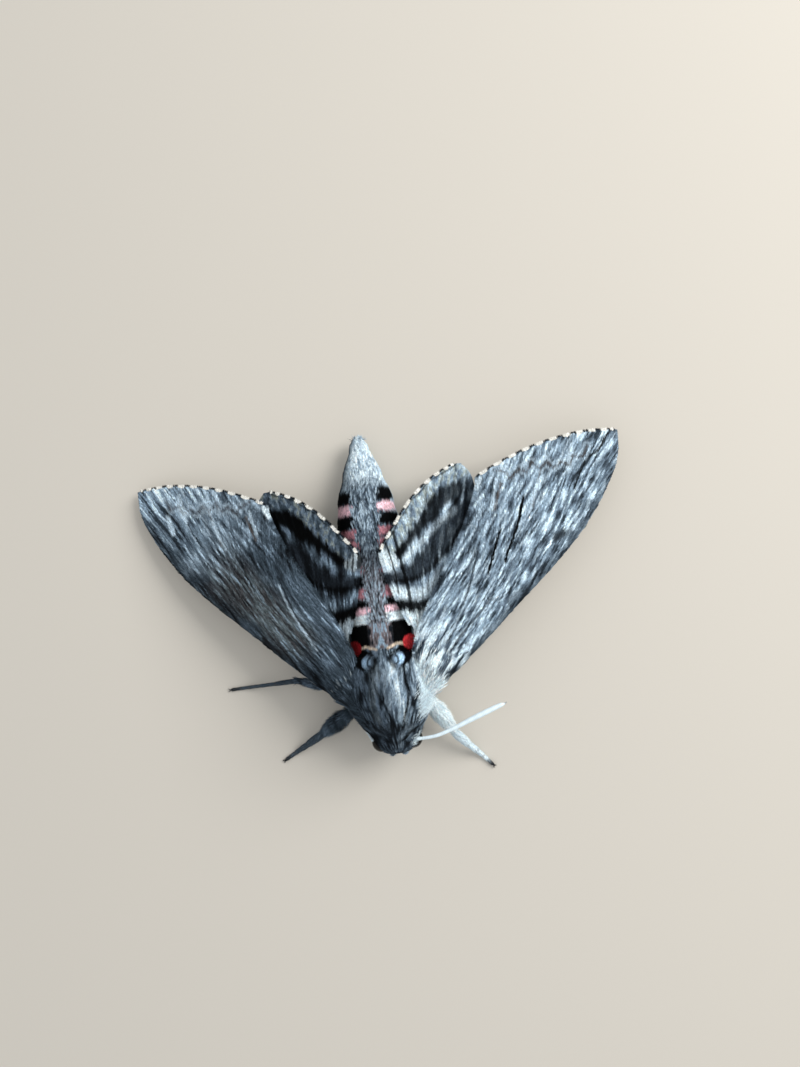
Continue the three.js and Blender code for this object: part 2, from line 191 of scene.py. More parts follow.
# %% Lines and soft edges


def spline(places, t):
    """Points at fractions t of a smooth line through the places."""
    p = np.asarray(places, float)
    reach = np.clip(t, 0, 1) * (len(p) - 1)
    i = np.minimum(reach.astype(int), len(p) - 2)
    w = (reach - i)[..., None]
    before = p[np.maximum(i - 1, 0)]
    after = p[np.minimum(i + 2, len(p) - 1)]
    a, b = p[i], p[i + 1]
    leave = (b - before) / 2
    arrive = (after - a) / 2
    return ((2 * a - 2 * b + leave + arrive) * w ** 3
            + (3 * b - 3 * a - 2 * leave - arrive) * w ** 2 + leave * w + a)


def off_line(points, places, smooth=6):
    """Distance of each point from the smooth line through the places."""
    line = np.asarray(places, float)
    if len(line) > 2:
        line = spline(line, np.linspace(0, 1, smooth * (len(line) - 1) + 1))
    nearest = np.full(len(points), 1e9)
    for a, b in zip(line[:-1], line[1:]):
        along = b - a
        t = np.clip((points - a) @ along / max(along @ along, 1e-9), 0, 1)
        gap = points - a - t[:, None] * along
        nearest = np.minimum(nearest, np.sqrt((gap ** 2).sum(1)))
    return nearest


def fade(distance, inner, outer):
    """1 up to inner, 0 past outer, and soft in between."""
    t = np.clip((distance - inner) / (outer - inner), 0, 1)
    return 1 - t * t * (3 - 2 * t)


def rise(value, start, full):
    """0 up to start, 1 past full, and soft in between."""
    return fade(-value, -full, -start)


def close_to(value, middle, inner, outer):
    """1 where the value is within inner of the middle, 0 where it is further off than outer."""
    return fade(np.abs(value - middle), inner, outer)


# %% [markdown]
# The others lay one colour over another and mix rows of colours, and one gives the smooth
# unevenness that keeps hair from looking combed by a machine. Blender's noise nodes could do
# that as well, but the colours are needed here as numbers, one for each hair.

# %% Mixing colours
LATTICE = 128


def dab(tint, mask, colour):
    """Lays a colour over the tints where the mask is 1."""
    return tint + (colour - tint) * np.clip(np.broadcast_to(mask, len(tint)), 0, 1)[:, None]


def plain(colour, count):
    """The same colour for that many places."""
    return np.tile(colour, (count, 1))


def ramp(value, *colours):
    """Colours at even steps from 0 to 1, mixed by the value."""
    steps = np.linspace(0, 1, len(colours))
    return np.column_stack([np.interp(value, steps, [c[k] for c in colours]) for k in range(3)])


def spread(value, gain):
    """Pushes values from 0 to 1 away from their middle, for a stronger contrast."""
    return np.clip(0.5 + (value - 0.5) * gain, 0, 1)


def drift(x, y, seed):
    """Smooth random values from 0 to 1, changing over about one unit."""
    lattice = np.random.default_rng(seed).random((LATTICE, LATTICE))
    ix = np.floor(x).astype(int)
    iy = np.floor(y).astype(int)
    fx = x - ix
    fy = y - iy
    fx = fx * fx * (3 - 2 * fx)
    fy = fy * fy * (3 - 2 * fy)
    left, right = ix % LATTICE, (ix + 1) % LATTICE
    below, above = iy % LATTICE, (iy + 1) % LATTICE
    low = lattice[left, below] * (1 - fx) + lattice[right, below] * fx
    high = lattice[left, above] * (1 - fx) + lattice[right, above] * fx
    return low * (1 - fy) + high * fy


# %% [markdown]
# The body's outline is known at a few stations from nose to tail. The same table of half
# width, top and bottom tells how far round the body a point lies, which both the markings
# and the unwrap need.

# %% Body stations
STATIONS = np.array((
    # back, half width, top, bottom
    (0.3, 1.5, 6.9, 5.6), (1.4, 2.95, 8.0, 4.2), (2.4, 3.55, 8.6, 3.4), (4.0, 4.3, 9.3, 2.7),
    (7.0, 5.8, 11.3, 1.5), (9.2, 6.4, 12.1, 1.1), (12.0, 6.7, 12.3, 1.0), (15.0, 6.2, 11.4, 0.9),
    (17.0, 5.7, 9.8, 0.6), (20.0, 5.5, 9.2, 0.1), (25.0, 5.5, 8.8, 0.0), (30.0, 5.4, 8.4, 0.0),
    (35.0, 5.2, 7.9, 0.0), (40.0, 4.8, 7.1, 0.0), (43.0, 4.2, 6.3, 0.2), (46.0, 3.2, 5.3, 0.6),
    (49.0, 2.0, 4.2, 1.1), (51.6, 0.9, 3.1, 1.5)))


def girth(back):
    """Half width, height of the middle and half height of the body at that distance back."""
    half_width, top, bottom = (np.interp(back, STATIONS[:, 0], STATIONS[:, k]) for k in (1, 2, 3))
    return half_width, (top + bottom) / 2, (top - bottom) / 2


def way_round(points):
    """0 along the back, 1 along the belly, and how far up the side in between."""
    half_width, middle, half_height = girth(points[:, 1])
    angle = np.arctan2(np.abs(points[:, 0]) / half_width, (points[:, 2] - middle) / half_height)
    return angle / math.pi


print("body stations:", len(STATIONS), "widest half:", STATIONS[:, 1].max())

# %% [markdown]
# The legs are a thigh, a shin and a foot each. Hip, knee, ankle and the tip of the foot are
# given out to the leg's own side, back and up, and are the middles of the measured solids.

# %% Leg joints
HINDLEG = ((4.6, 15.0, 1.7), (8.6, 18.6, 4.2), (9.6, 29.4, 2.2), (9.4, 39.6, 0.3))
LEGS = {
    "foreleg_left": (1, (3.9, 8.8, 1.7), (5.9, 7.5, 4.2), (9.4, 1.4, 2.5), (14.6, -4.7, 0.3)),
    "foreleg_right": (-1, (4.2, 8.4, 1.8), (7.2, 7.2, 4.2), (12.9, 3.9, 2.5), (19.5, 0.4, 0.3)),
    "midleg_left": (1, (4.8, 11.9, 1.8), (9.1, 13.6, 4.4), (13.6, 19.2, 2.6), (20.8, 28.0, 0.3)),
    "midleg_right": (-1, (4.8, 11.4, 1.8), (9.8, 11.8, 4.2), (15.2, 13.3, 2.8), (27.3, 13.1, 0.3)),
    "hindleg_left": (1, *HINDLEG),
    "hindleg_right": (-1, *HINDLEG),
}


def leg_joints(name):
    """Hip, knee, ankle and tip of the foot in moth millimetres."""
    side, *joints = LEGS[name]
    return [np.array((side * out, back, up)) for out, back, up in joints]


LEG_NAMES = list(LEGS)
print("legs:", len(LEG_NAMES))

# %% [markdown]
# The abdomen has a grey stripe down its middle, and its sides are banded in pink, black and
# white as far as the pale belly. Each band is a stretch along the body, and its edges are
# ragged, because it is made of hairs.

# %% Colours of the abdomen
SIDE_BANDS = [
    # from, to, colour
    (20.95, 22.45, WHITE), (22.45, 23.6, PINK), (23.5, 24.7, BLACK), (25.0, 26.5, ROSE),
    (26.9, 28.5, BLACK), (28.9, 30.5, ROSE), (30.9, 32.6, BLACK), (33.0, 34.3, ROSE),
    (34.7, 36.1, ROSE), (36.3, 38.5, BLACK), (38.7, 40.2, PINK), (40.4, 42.7, BLACK)]


def abdomen_tint(tint, points, round_body, left):
    """Lays the grain, the side bands and the belly over the tints, with painted light on the left side and
    painted shade on the right. left is 1 on the left side.
    """
    out, back = points[:, :2].T
    abdomen = rise(back, 20.4, 20.8)
    grain = 0.6 * drift(out * 7.0, back / 0.34, 9) + 0.28 * drift(out * 3.6, back / 0.8, 11)
    grain = spread(grain + 0.12 * drift(out * 1.2, back / 2.6, 10), 2.4)
    middle = ramp(grain, SOOT, SLATE * 0.9, STEEL * 0.85, ASH * 0.8, FROST * 0.85)
    middle = dab(middle, fade(back, 29.0, 34.0) * 0.5, ramp(grain, SOOT, UMBER, MAUVE, ASH))
    middle = dab(middle, close_to(back, 32.0, 1.5, 4.5) * 0.4, SOOT)
    middle = dab(middle, fade(np.abs(out), 0.02, 0.22) * 0.45, SLATE)
    middle = dab(middle, rise(back, 42.0, 46.0) * 0.9, ramp(grain, ASH, FROST, WHITE, WHITE))
    tint = dab(tint, abdomen, middle)
    # Painted light on the upper left flank, and painted shade on the right flank and on the right of the
    # tail.
    tint = dab(tint, abdomen * rise(round_body, 0.30, 0.42) * 0.6 * left, FROST)
    tint = dab(tint, abdomen * rise(round_body, 0.22, 0.36) * 0.6 * (1 - left), SLATE)
    tail_side = rise(back, 41.0, 44.0) * rise(round_body, 0.32, 0.42)
    tint = dab(tint, tail_side * 0.85 * (1 - left), SOOT)
    stripe_edge = np.interp(back, (22, 30, 36, 42), (1.4, 1.6, 2.1, 2.2)) + 0.15 * np.sin(back * 1.5)
    stripe_edge = stripe_edge + 0.9 * (grain - 0.5)
    flank = rise(np.abs(out), stripe_edge - 0.15, stripe_edge + 0.2)
    hairs = drift(out * 3, back * 0.3, 31)
    for start, end, colour in SIDE_BANDS:
        centre = (start + end) / 2
        half = (end - start) / 2
        ragged = np.abs(back - centre) + 0.5 * (hairs - 0.5)
        mask = fade(ragged, half - 0.12, half + 0.12) * flank
        # Each band's hairs differ in tone at random, and a small painted light sets their level on each
        # side.
        tone_and_light = 1.0 if colour is WHITE else (0.85 + 0.4 * hairs) * (1.12 - 0.02 * left)
        band = colour * np.broadcast_to(tone_and_light, len(tint))[:, None]
        tint = dab(tint, mask * fade(round_body, 0.44, 0.52), band)
    belly = rise(round_body, 0.56, 0.72)
    tint = dab(tint, belly * 0.8, FROST)
    shade = 0.3 * (1 - left) * rise(back, 24.2, 25.4) * rise(round_body, 0.12, 0.3)
    shade = shade * fade(round_body, 0.5, 0.6)
    return tint * (1 - shade)[:, None]


# %% [markdown]
# Behind the collar sit the false eyes that startle a bird: blue-grey half moons ringed in
# black, tan crescents, and red spots over black velvet. Ovals and short lines are enough to
# paint them, and one drawing serves both sides.

# %% Colours of the false eyes
TAN_CRESCENT = [(0.9, 16.9), (1.7, 17.15), (2.5, 17.4), (3.4, 17.2), (4.3, 16.5)]


def false_eye_tint(tint, flat, round_body, left):
    """Lays both false eyes over the tints, with painted light on the left eye, painted shade on the right
    one and a painted highlight in the blue. flat is the way out to either side, and back.
    """
    side, back = flat.T
    saddle = close_to(back, 18.9, 1.8, 2.1)
    strip = spread(0.6 * drift(side * 4.5, back / 0.9, 12) + 0.4 * drift(side * 2.0, back / 2.0, 13), 2.2)
    tint = dab(tint, saddle * fade(side, 1.9, 2.2), ramp(strip, SOOT, MAUVE * 0.45, MAUVE * 0.8, ASH))
    velvet = close_to(back, 19.2, 1.65, 1.85) * close_to(side, 3.4, 1.35, 1.6)
    tint = dab(tint, velvet, BLACK)
    ring = np.hypot(side - 2.4, back - 15.15)
    socket = np.hypot((side - 3.3) / 1.45, (back - 15.7) / 1.6)
    tint = dab(tint, fade(socket, 0.85, 1.0) * rise(side, 1.6, 2.3), BLACK)
    outward = np.clip(0.45 + 0.45 * (side - 2.4) - 0.35 * (back - 15.15), 0, 1)
    tint = dab(tint, close_to(ring, 1.22, 0.16, 0.32) * (0.7 + 0.3 * outward), BLACK)
    # The blue is painted brightest at one spot, a painted highlight, and dimmer on the right eye, as
    # painted shade.
    blue = ramp(np.clip(1.4 - np.hypot(side - 2.75, back - 15.2), 0, 1), SLATE, STEEL, BLUE, BLUE * 1.5)
    tint = dab(tint, fade(ring, 0.9, 1.08), blue * (0.5 + 0.5 * left)[:, None])
    pupil = off_line(flat, [(1.9, 14.5), (2.35, 14.7), (2.35, 15.4), (2.0, 15.8)])
    tint = dab(tint, fade(pupil, 0.07, 0.24) * 0.9, SOOT)
    broken = 0.7 + 0.3 * drift(side * 2.2, back * 1.4, 14)
    # The tan crescent is painted dimmer on the right, as painted shade.
    tint = dab(tint, fade(off_line(flat, TAN_CRESCENT), 0.12, 0.28) * (0.7 + 0.3 * left) * broken, TAN)
    spot = np.hypot((side - 4.4) / 1.2, (back - 17.4) / 1.2)
    upper = fade(round_body, 0.42, 0.5)
    # The red spot is painted much lighter on the left, as painted light.
    red = RED * (0.62 + 1.1 * left)[:, None] + 0.012 * left[:, None]
    return dab(tint, fade(spot, 0.88, 1.0) * upper, red)


# %% [markdown]
# The back is slate with paler strokes, and the collar carries nested dark arches. A black line runs down
# each side of the chest with a pale stripe inside it, and the flank below the wing is white. All of the
# right side is painted darker, as shade: its flank slate, its marks fainter, and more black round its eye;
# the left side is painted lighter.

# %% Colours of the head and chest
CHEST_LINE = [(3.0, 13.6), (3.3, 10.3), (3.0, 9.1), (2.65, 7.8), (1.35, 4.8)]
CHEST_STRIPE = [(1.45, 14.1), (1.35, 12.4), (2.0, 10.3), (2.1, 7.9), (1.7, 6.2)]
COLLAR_ARCHES = [
    # line, half width, colour, strength
    ([(5.1, 5.6), (4.2, 4.6), (2.7, 3.8), (1.0, 2.6), (0.0, 2.3)], 0.12, BLACK, 0.85),
    ([(3.4, 4.9), (2.2, 4.2), (1.2, 3.5)], 0.04, ASH, 0.35),
    ([(4.6, 7.6), (3.6, 5.6), (2.2, 4.5)], 0.06, SOOT, 0.7),
    ([(2.2, 12.9), (2.3, 9.0), (1.75, 6.5), (0.6, 3.9)], 0.05, SOOT, 0.7),
    ([(0.1, 12.6), (0.0, 10.0), (0.4, 6.8), (0.7, 4.3)], 0.03, SOOT, 0.5),
]


def body_tint(points):
    """The colour of skin and hair anywhere on the head, chest and abdomen, with painted light on the left
    side and painted shade on the right.
    """
    out, back = points[:, :2].T
    flat = np.column_stack((np.abs(out), back))
    left = rise(out, -1.0, 1.0)
    round_body = way_round(points)
    around = round_body * np.sign(out)
    strands = 0.7 * drift(around * 85, back / 0.9, 5) + 0.3 * drift(around * 26, back / 2.4, 6)
    strands = spread(strands, 2.7)
    # Painted light and shade: the right side takes the dark row of colours, as painted shade, and the left
    # side mostly the pale one, as painted light.
    shaded_tint = ramp(strands, SOOT * 0.6, SOOT, SLATE * 0.7, SLATE, STEEL * 0.9)
    tint = dab(shaded_tint, left * 0.85, ramp(strands, SOOT, SLATE, STEEL, ASH, FROST * 0.8))
    tint = dab(tint, close_to(back, 4.4, 0.6, 1.6) * fade(np.abs(out), 2.5, 4.5) * 0.55, SOOT)
    tint = dab(tint, close_to(back, 0.2, 0.6, 1.6) * 0.32, STEEL)
    tint = dab(tint, close_to(back, 2.8, 1.0, 2.4) * 0.35, SOOT)
    shoulder = np.interp(back, (7, 9, 11, 13, 15.5, 17.6), (5.8, 5.4, 5.0, 4.6, 4.4, 4.2))
    flank = fade(shoulder - np.abs(out) + 0.5 * (strands - 0.5), -0.4, 0.3)
    flank = flank * close_to(back, 11.8, 6.0, 7.2) * fade(round_body, 0.6, 0.7)
    # The flank is painted white on the lit left; on the right it is painted slate, as shade.
    tint = dab(tint, flank * left, ramp(strands, ASH, FROST, WHITE, WHITE))
    tint = dab(tint, flank * (1 - left) * 0.6, ramp(strands, SOOT, SLATE, STEEL))
    # The arches, the pale stripe and the black line are painted fainter on the right, in its painted shade.
    for places, half_width, colour, strength in COLLAR_ARCHES:
        mask = fade(off_line(flat, places), half_width, half_width + 0.17)
        tint = dab(tint, mask * fade(round_body, 0.4, 0.5) * strength * (0.4 + 0.6 * left), colour)
    away = off_line(flat, CHEST_STRIPE) + 0.5 * (strands - 0.5) - np.interp(back, (8, 13), (0.0, 0.25))
    tint = dab(tint, fade(away, 0.3, 0.8) * (0.12 + 0.88 * left), ramp(strands, ASH, FROST, WHITE, WHITE))
    line = fade(off_line(flat, CHEST_LINE), 0.08, 0.26)
    tint = dab(tint, line * (0.6 + 0.4 * left), BLACK)
    # The white cheek is painted on the lit left only, and the black beside the eye is painted stronger on
    # the right, as painted shade round the dark eye.
    cheek = np.hypot(np.abs(out) - 3.5, back - 1.9)
    tint = dab(tint, fade(cheek, 0.35, 0.8) * 0.9 * left, WHITE)
    beside_eye = np.hypot(np.abs(out) - 4.1, back - 2.7)
    tint = dab(tint, fade(beside_eye, 1.3, 2.1) * (0.9 - 0.6 * left), BLACK)
    tint = abdomen_tint(tint, points, round_body, left)
    return false_eye_tint(tint, flat, round_body, left)


# %% [markdown]
# The legs on the moth's left are white and those on its right are painted slate, as shade, with strands
# along them all. The left foreleg is the whitest.

# %% Colours of the legs
# How white each leg is painted: the legs on the right get none, which is painted shade.
LEG_LIT_WHITENESS = {"foreleg_left": 1.0, "midleg_left": 0.6, "hindleg_left": 0.5}


def leg_tint(points, leg, along):
    """The fur of one leg, with strands that follow it."""
    strands = drift(along * 9, points[:, 0] * 2.5 + points[:, 2] * 2.5, 3)
    base = ramp(spread(strands, 1.8), SOOT, SLATE * 0.9, SLATE * 1.15, STEEL * 0.9)
    return dab(base, LEG_LIT_WHITENESS.get(leg, 0.0), WHITE * 1.03)


# %% [markdown]
# Some steps repeat all through the making: selecting one piece alone, applying what was put
# on it, and giving it a material. Wings and tubes both start as a flat grid. Everything
# loaded at the start is still selected, so each step first clears the selection.

# %% Modelling helpers


def only(*pieces):
    """Selects these pieces alone, and makes the first the active one."""
    bpy.ops.object.select_all(action="DESELECT")
    for piece in pieces:
        piece.select_set(True)
    bpy.context.view_layer.objects.active = pieces[0]


def apply_modifiers(piece):
    """Makes the modifiers' work permanent, in their order."""
    only(piece)
    for modifier in list(piece.modifiers):
        bpy.ops.object.modifier_apply(modifier=modifier.name)


def finish_piece(piece, material, slot, *nodes):
    """Gives a piece its material and its body, and hides the solids it stands for; slot is not used."""
    piece.data.materials.clear()
    piece.data.materials.append(material)
    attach(piece, "root")
    if nodes:
        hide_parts(*nodes)


def flat_grid(name, columns, lines):
    """A flat grid, and how far along it and across it each corner lies, from 0 to 1."""
    bpy.ops.object.select_all(action="DESELECT")
    bpy.ops.mesh.primitive_grid_add(x_subdivisions=columns, y_subdivisions=lines, size=1)
    piece = bpy.context.object
    piece.name = name
    grid = np.array([corner.co for corner in piece.data.vertices])
    return piece, grid[:, 0] + 0.5, grid[:, 1] + 0.5


# %% [markdown]
# Corners are read and written as whole lists, which is far quicker than one by one. A tint
# is kept on each corner as an attribute, so that one material can serve every colour.

# %% Corners and tints of a piece


def corners(piece):
    """The corners of a piece in moth millimetres."""
    flat = np.empty(len(piece.data.vertices) * 3)
    piece.data.vertices.foreach_get("co", flat)
    return in_moth(flat.reshape(-1, 3))


def move_corners(piece, points):
    """Puts the corners at these places in moth millimetres."""
    piece.data.vertices.foreach_set("co", in_frame(points).astype(np.float32).ravel())
    piece.data.update()


def corner_normals(piece):
    """The way out of the surface at each corner."""
    flat = np.empty(len(piece.data.vertices) * 3)
    piece.data.vertices.foreach_get("normal", flat)
    return flat.reshape(-1, 3)


def set_tint(piece, tint):
    """Stores one colour for each corner, which the materials read."""
    if "tint" not in piece.data.attributes:
        piece.data.attributes.new("tint", "FLOAT_COLOR", "POINT")
    colour = np.column_stack((np.clip(tint, 0, 1), np.ones(len(tint))))
    piece.data.attributes["tint"].data.foreach_set("color", colour.astype(np.float32).ravel())


def unit(vectors):
    """The same directions, each of length 1."""
    return vectors / np.maximum(np.linalg.norm(vectors, axis=1, keepdims=True), 1e-9)


# %% [markdown]
# Fur and scales are all one kind of finish with a few settings. The colour comes from the
# tint kept on each piece, broken up by a fine noise, and the sheen is the bloom of light that
# short fibres give at a glancing angle. An image could colour them too, but then each marking
# would have to be drawn by hand.

# %% Finishes of fur and scales


def fur_finish(name, roughness, sheen, grain, bump, contrast=0.25):
    """A tinted fibre finish. grain is the size of its unevenness in millimetres."""
    material, shader = new_material(name, {
        "Roughness": roughness, "Sheen Weight": sheen, "Sheen Roughness": 0.4,
        "Specular IOR Level": 0.03})
    nodes = material.node_tree.nodes
    link = material.node_tree.links.new
    tint = nodes.new("ShaderNodeAttribute")
    tint.attribute_name = "tint"
    place = nodes.new("ShaderNodeTexCoord")
    noise = nodes.new("ShaderNodeTexNoise")
    noise.inputs["Scale"].default_value = 1 / (grain * MM)
    noise.inputs["Detail"].default_value = 2.0
    level = nodes.new("ShaderNodeMapRange")
    level.inputs["From Min"].default_value = 0.3
    level.inputs["From Max"].default_value = 0.7
    level.inputs["To Min"].default_value = 1 - contrast
    level.inputs["To Max"].default_value = 1 + contrast
    shade = nodes.new("ShaderNodeVectorMath")
    shade.operation = "SCALE"
    relief = nodes.new("ShaderNodeBump")
    relief.inputs["Strength"].default_value = bump
    relief.inputs["Distance"].default_value = 0.05 * MM
    link(place.outputs["Object"], noise.inputs["Vector"])
    link(noise.outputs["Fac"], level.inputs["Value"])
    link(tint.outputs["Color"], shade.inputs["Vector"])
    link(level.outputs["Result"], shade.inputs["Scale"])
    link(shade.outputs["Vector"], shader.inputs["Base Color"])
    link(noise.outputs["Fac"], relief.inputs["Height"])
    link(relief.outputs["Normal"], shader.inputs["Normal"])
    return material


BODY_FUR = fur_finish("body_fur_fibres", roughness=0.7, sheen=0.02, grain=0.35, bump=0.2)
LEG_FUR = fur_finish("leg_fur_fibres", roughness=0.7, sheen=0.03, grain=0.25, bump=0.2)
BARE_SKIN = fur_finish("skin_under_fur", roughness=0.85, sheen=0.0, grain=0.12, bump=0.6, contrast=0.3)
WING_SCALES = fur_finish("wing_scale_rows", roughness=0.6, sheen=0.02, grain=0.3, bump=0.2)

# %% [markdown]
# Under the fur, head, palps, chest, abdomen, thighs and shins are one living skin. The
# measured solids of those parts are copied, swollen a little until they touch, and remeshed
# as one, which leaves no seam. A small ball at each hip, knee and ankle rounds off the joint.

# %% One skin from the solids of flesh
SWELLING = 0.3
VOXEL = 0.2
WELD = 0.005
JOINT_RADII = (0.7, 0.78, 0.5)
FLESH = ["head", "palp_left", "palp_right", "thorax", "tail_brush"]
FLESH += [f"abdomen_{ring}" for ring in range(1, 8)]
FLESH += [f"{leg}_{part}" for leg in LEGS for part in ("thigh", "shin")]

copies = []
for name in FLESH:
    copy = bpy.data.objects.new("flesh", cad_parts[name].data.copy())
    bpy.context.collection.objects.link(copy)
    copies.append(copy)
for leg in LEG_NAMES:
    for joint, radius in zip(leg_joints(leg), JOINT_RADII):
        bpy.ops.mesh.primitive_ico_sphere_add(subdivisions=3, radius=radius * MM, location=in_frame(joint))
        bpy.ops.object.transform_apply(location=True)
        copies.append(bpy.context.object)
only(*copies)
bpy.ops.object.join()
skin = bpy.context.object
skin.name = "body_skin"
bpy.ops.object.mode_set(mode="EDIT")
bpy.ops.mesh.select_all(action="SELECT")
bpy.ops.mesh.remove_doubles(threshold=WELD * MM)
bpy.ops.object.mode_set(mode="OBJECT")
swell = skin.modifiers.new("swell", "DISPLACE")
swell.mid_level = 0.0
swell.strength = SWELLING * MM
remesh = skin.modifiers.new("one_skin", "REMESH")
remesh.mode = "VOXEL"
remesh.voxel_size = VOXEL * MM
smooth = skin.modifiers.new("soften", "SMOOTH")
smooth.factor = 0.5
smooth.iterations = 6
apply_modifiers(skin)
print("skin corners:", len(skin.data.vertices))

# %% [markdown]
# The step at the neck is smoothed more than the rest, because fur runs over it without a
# break. A vertex group holds how much each corner is smoothed, so that it ends softly.

# %% The neck
NECK_BACK = 4.1
neck = close_to(corners(skin)[:, 1], NECK_BACK, 1.0, 2.2) * rise(corners(skin)[:, 2], 3.5, 5.0)
around_neck = skin.vertex_groups.new(name="neck")
for corner in np.flatnonzero(neck > 0.01):
    around_neck.add([int(corner)], float(neck[corner]), "REPLACE")
soften_neck = skin.modifiers.new("soften_neck", "SMOOTH")
soften_neck.factor = 0.5
soften_neck.iterations = 60
soften_neck.vertex_group = "neck"
apply_modifiers(skin)
print("corners smoothed at the neck:", int((neck > 0.01).sum()))

# %% [markdown]
# Which leg a point belongs to, and how far along it lies, comes from its distance to the
# straight runs from hip to knee and from knee to ankle. A point counts as leg only outside
# the oval of the body. With that, the depth of the coat is known everywhere too.

# %% Finding the legs on the skin


def nearest_leg(points):
    """Leg number or -1 for the trunk, way from hip to ankle, and the leg's direction there."""
    half_width, middle, half_height = girth(points[:, 1])
    oval = np.hypot(points[:, 0] / half_width, (points[:, 2] - middle) / half_height)
    best = np.full(len(points), 1.6)
    number = np.full(len(points), -1)
    along = np.zeros(len(points))
    way = np.zeros((len(points), 3))
    for k, leg in enumerate(LEG_NAMES):
        hip, knee, ankle = leg_joints(leg)[:3]
        for part, (a, b) in enumerate(((hip, knee), (knee, ankle))):
            run = b - a
            t = np.clip((points - a) @ run / (run @ run), 0, 1)
            gap = np.linalg.norm(points - a - t[:, None] * run, axis=1)
            nearer = (gap < best) & (oval > 1.04)
            best[nearer] = gap[nearer]
            number[nearer] = k
            along[nearer] = (part + t[nearer]) / 2
            way[nearer] = run / np.linalg.norm(run)
    return number, along, way


def coat_depth(points):
    """How far the skin lies under the measured solid, or over it where that is less than 0."""
    backs = (0, 2, 5, 9, 14, 17, 48, 52)
    depth = np.interp(points[:, 1], backs, (0.05, 0, -0.2, -0.15, 0.05, 0.2, 0.2, 0.15))
    number, along = nearest_leg(points)[:2]
    depth = np.where(number >= 0, 0.1, depth)
    foreleg = (number >= 0) & (number < 2)
    return np.where(foreleg, np.interp(along, (0.6, 0.8, 1.0), (-0.1, 0.0, 0.15)), depth)


# %% [markdown]
# The skin is now drawn in again by the swelling and by the depth of the coat, kept just off the floor, and
# painted. It is painted darker than the hairs over it, a painted shade for the fur that covers it, which
# gives the coat its depth.

# %% Drawing the skin in
FLOOR_GAP = 0.05
SKIN_SHADE = 0.75
skin_points = corners(skin)
skin_points -= corner_normals(skin) * (SWELLING + coat_depth(skin_points))[:, None]
skin_points[:, 2] = np.maximum(skin_points[:, 2], FLOOR_GAP)
move_corners(skin, skin_points)


def whole_body_tint(points):
    """The colour of the skin and its fur anywhere, legs and all."""
    tint = body_tint(points)
    number, along = nearest_leg(points)[:2]
    for k, leg in enumerate(LEG_NAMES):
        mine = number == k
        tint[mine] = leg_tint(points[mine], leg, along[mine])
    return tint


set_tint(skin, whole_body_tint(skin_points) * SKIN_SHADE)
only(skin)
bpy.ops.object.shade_smooth()
skin.data.materials.clear()
skin.data.materials.append(BARE_SKIN)
print("skin box", skin_points.min(0).round(1), skin_points.max(0).round(1))

# %% [markdown]
# One hair is modelled and copied for the whole coat. It starts as a flat triangle, is drawn out twice and
# pinched to a point, so that it is closed and yet has only a few faces. A wing scale is made the same way,
# but broad and blunt like an oar.

# %% One hair and one scale


def model_blade(name, sections):
    """Draws a flat three-sided blade upwards. Each section is a step and a new width."""
    bpy.ops.object.select_all(action="DESELECT")
    bpy.ops.mesh.primitive_circle_add(vertices=3, radius=0.5, fill_type="NGON")
    blade = bpy.context.object
    blade.name = name
    bpy.ops.object.mode_set(mode="EDIT")
    bpy.ops.transform.resize(value=(1.0, 0.35, 1.0))
    width = 1.0
    for step, new_width in sections:
        bpy.ops.mesh.extrude_region_move(TRANSFORM_OT_translate={"value": (0, 0, step)})
        share = new_width / width
        bpy.ops.transform.resize(value=(share, share, 1.0))
        width = new_width
    bpy.ops.mesh.merge(type="CENTER")
    bpy.ops.mesh.select_all(action="SELECT")
    bpy.ops.mesh.quads_convert_to_tris()
    bpy.ops.mesh.normals_make_consistent(inside=False)
    bpy.ops.object.mode_set(mode="OBJECT")
    shape = np.array([corner.co for corner in blade.data.vertices])
    faces = np.array([face.vertices for face in blade.data.polygons])
    bpy.data.objects.remove(blade)
    print(name, "has", len(faces), "faces")
    return shape, faces


HAIR = model_blade("hair", ((0.4, 0.8), (0.6, 0.1)))
SCALE = model_blade("scale", ((0.62, 1.4), (0.38, 0.4)))

# %% [markdown]
# The coat is laid in three moves. First, roots are scattered over the skin, evenly but not in
# rows: the area of all the triangles is laid end to end and cut into equal steps, with one
# root somewhere in each.

# %% Scattering the roots


def scatter(piece, count, weight, seed):
    """Roots on a mesh: places, normals, and the corners and shares that each lies between."""
    rng = np.random.default_rng(seed)
    piece.data.calc_loop_triangles()
    flat = np.empty(len(piece.data.loop_triangles) * 3, dtype=np.int32)
    piece.data.loop_triangles.foreach_get("vertices", flat)
    triangles = flat.reshape(-1, 3)
    points = corners(piece)
    a, b, c = (points[triangles[:, k]] for k in range(3))
    cross = np.cross(b - a, c - a)
    area = np.linalg.norm(cross, axis=1) / 2
    share = np.cumsum(area * weight((a + b + c) / 3, unit(cross)))
    steps = (np.arange(count) + rng.random(count)) / count * share[-1]
    chosen = triangles[np.minimum(np.searchsorted(share, steps), len(triangles) - 1)]
    u, v = rng.random((2, count))
    folded = u + v > 1
    u[folded] = 1 - u[folded]
    v[folded] = 1 - v[folded]
    weights = np.column_stack((1 - u - v, u, v))
    roots = (points[chosen] * weights[..., None]).sum(1)
    normals = unit((corner_normals(piece)[chosen] * weights[..., None]).sum(1))
    return roots, normals, chosen, weights


# %% [markdown]
# A hair takes its colour from the place where it lies. Where markings have to stay crisp,
# each row of its corners asks for a colour of its own.

# %% Colours along a blade


def rows(blade):
    """How far along the blade its rows of corners lie, from 0 at the root to 1 at the tip."""
    return np.unique(blade[0][:, 2].round(3))


def painted_whole(blade, tint):
    """One colour for the whole of each blade."""
    return np.repeat(tint[:, None], len(rows(blade)), axis=1)


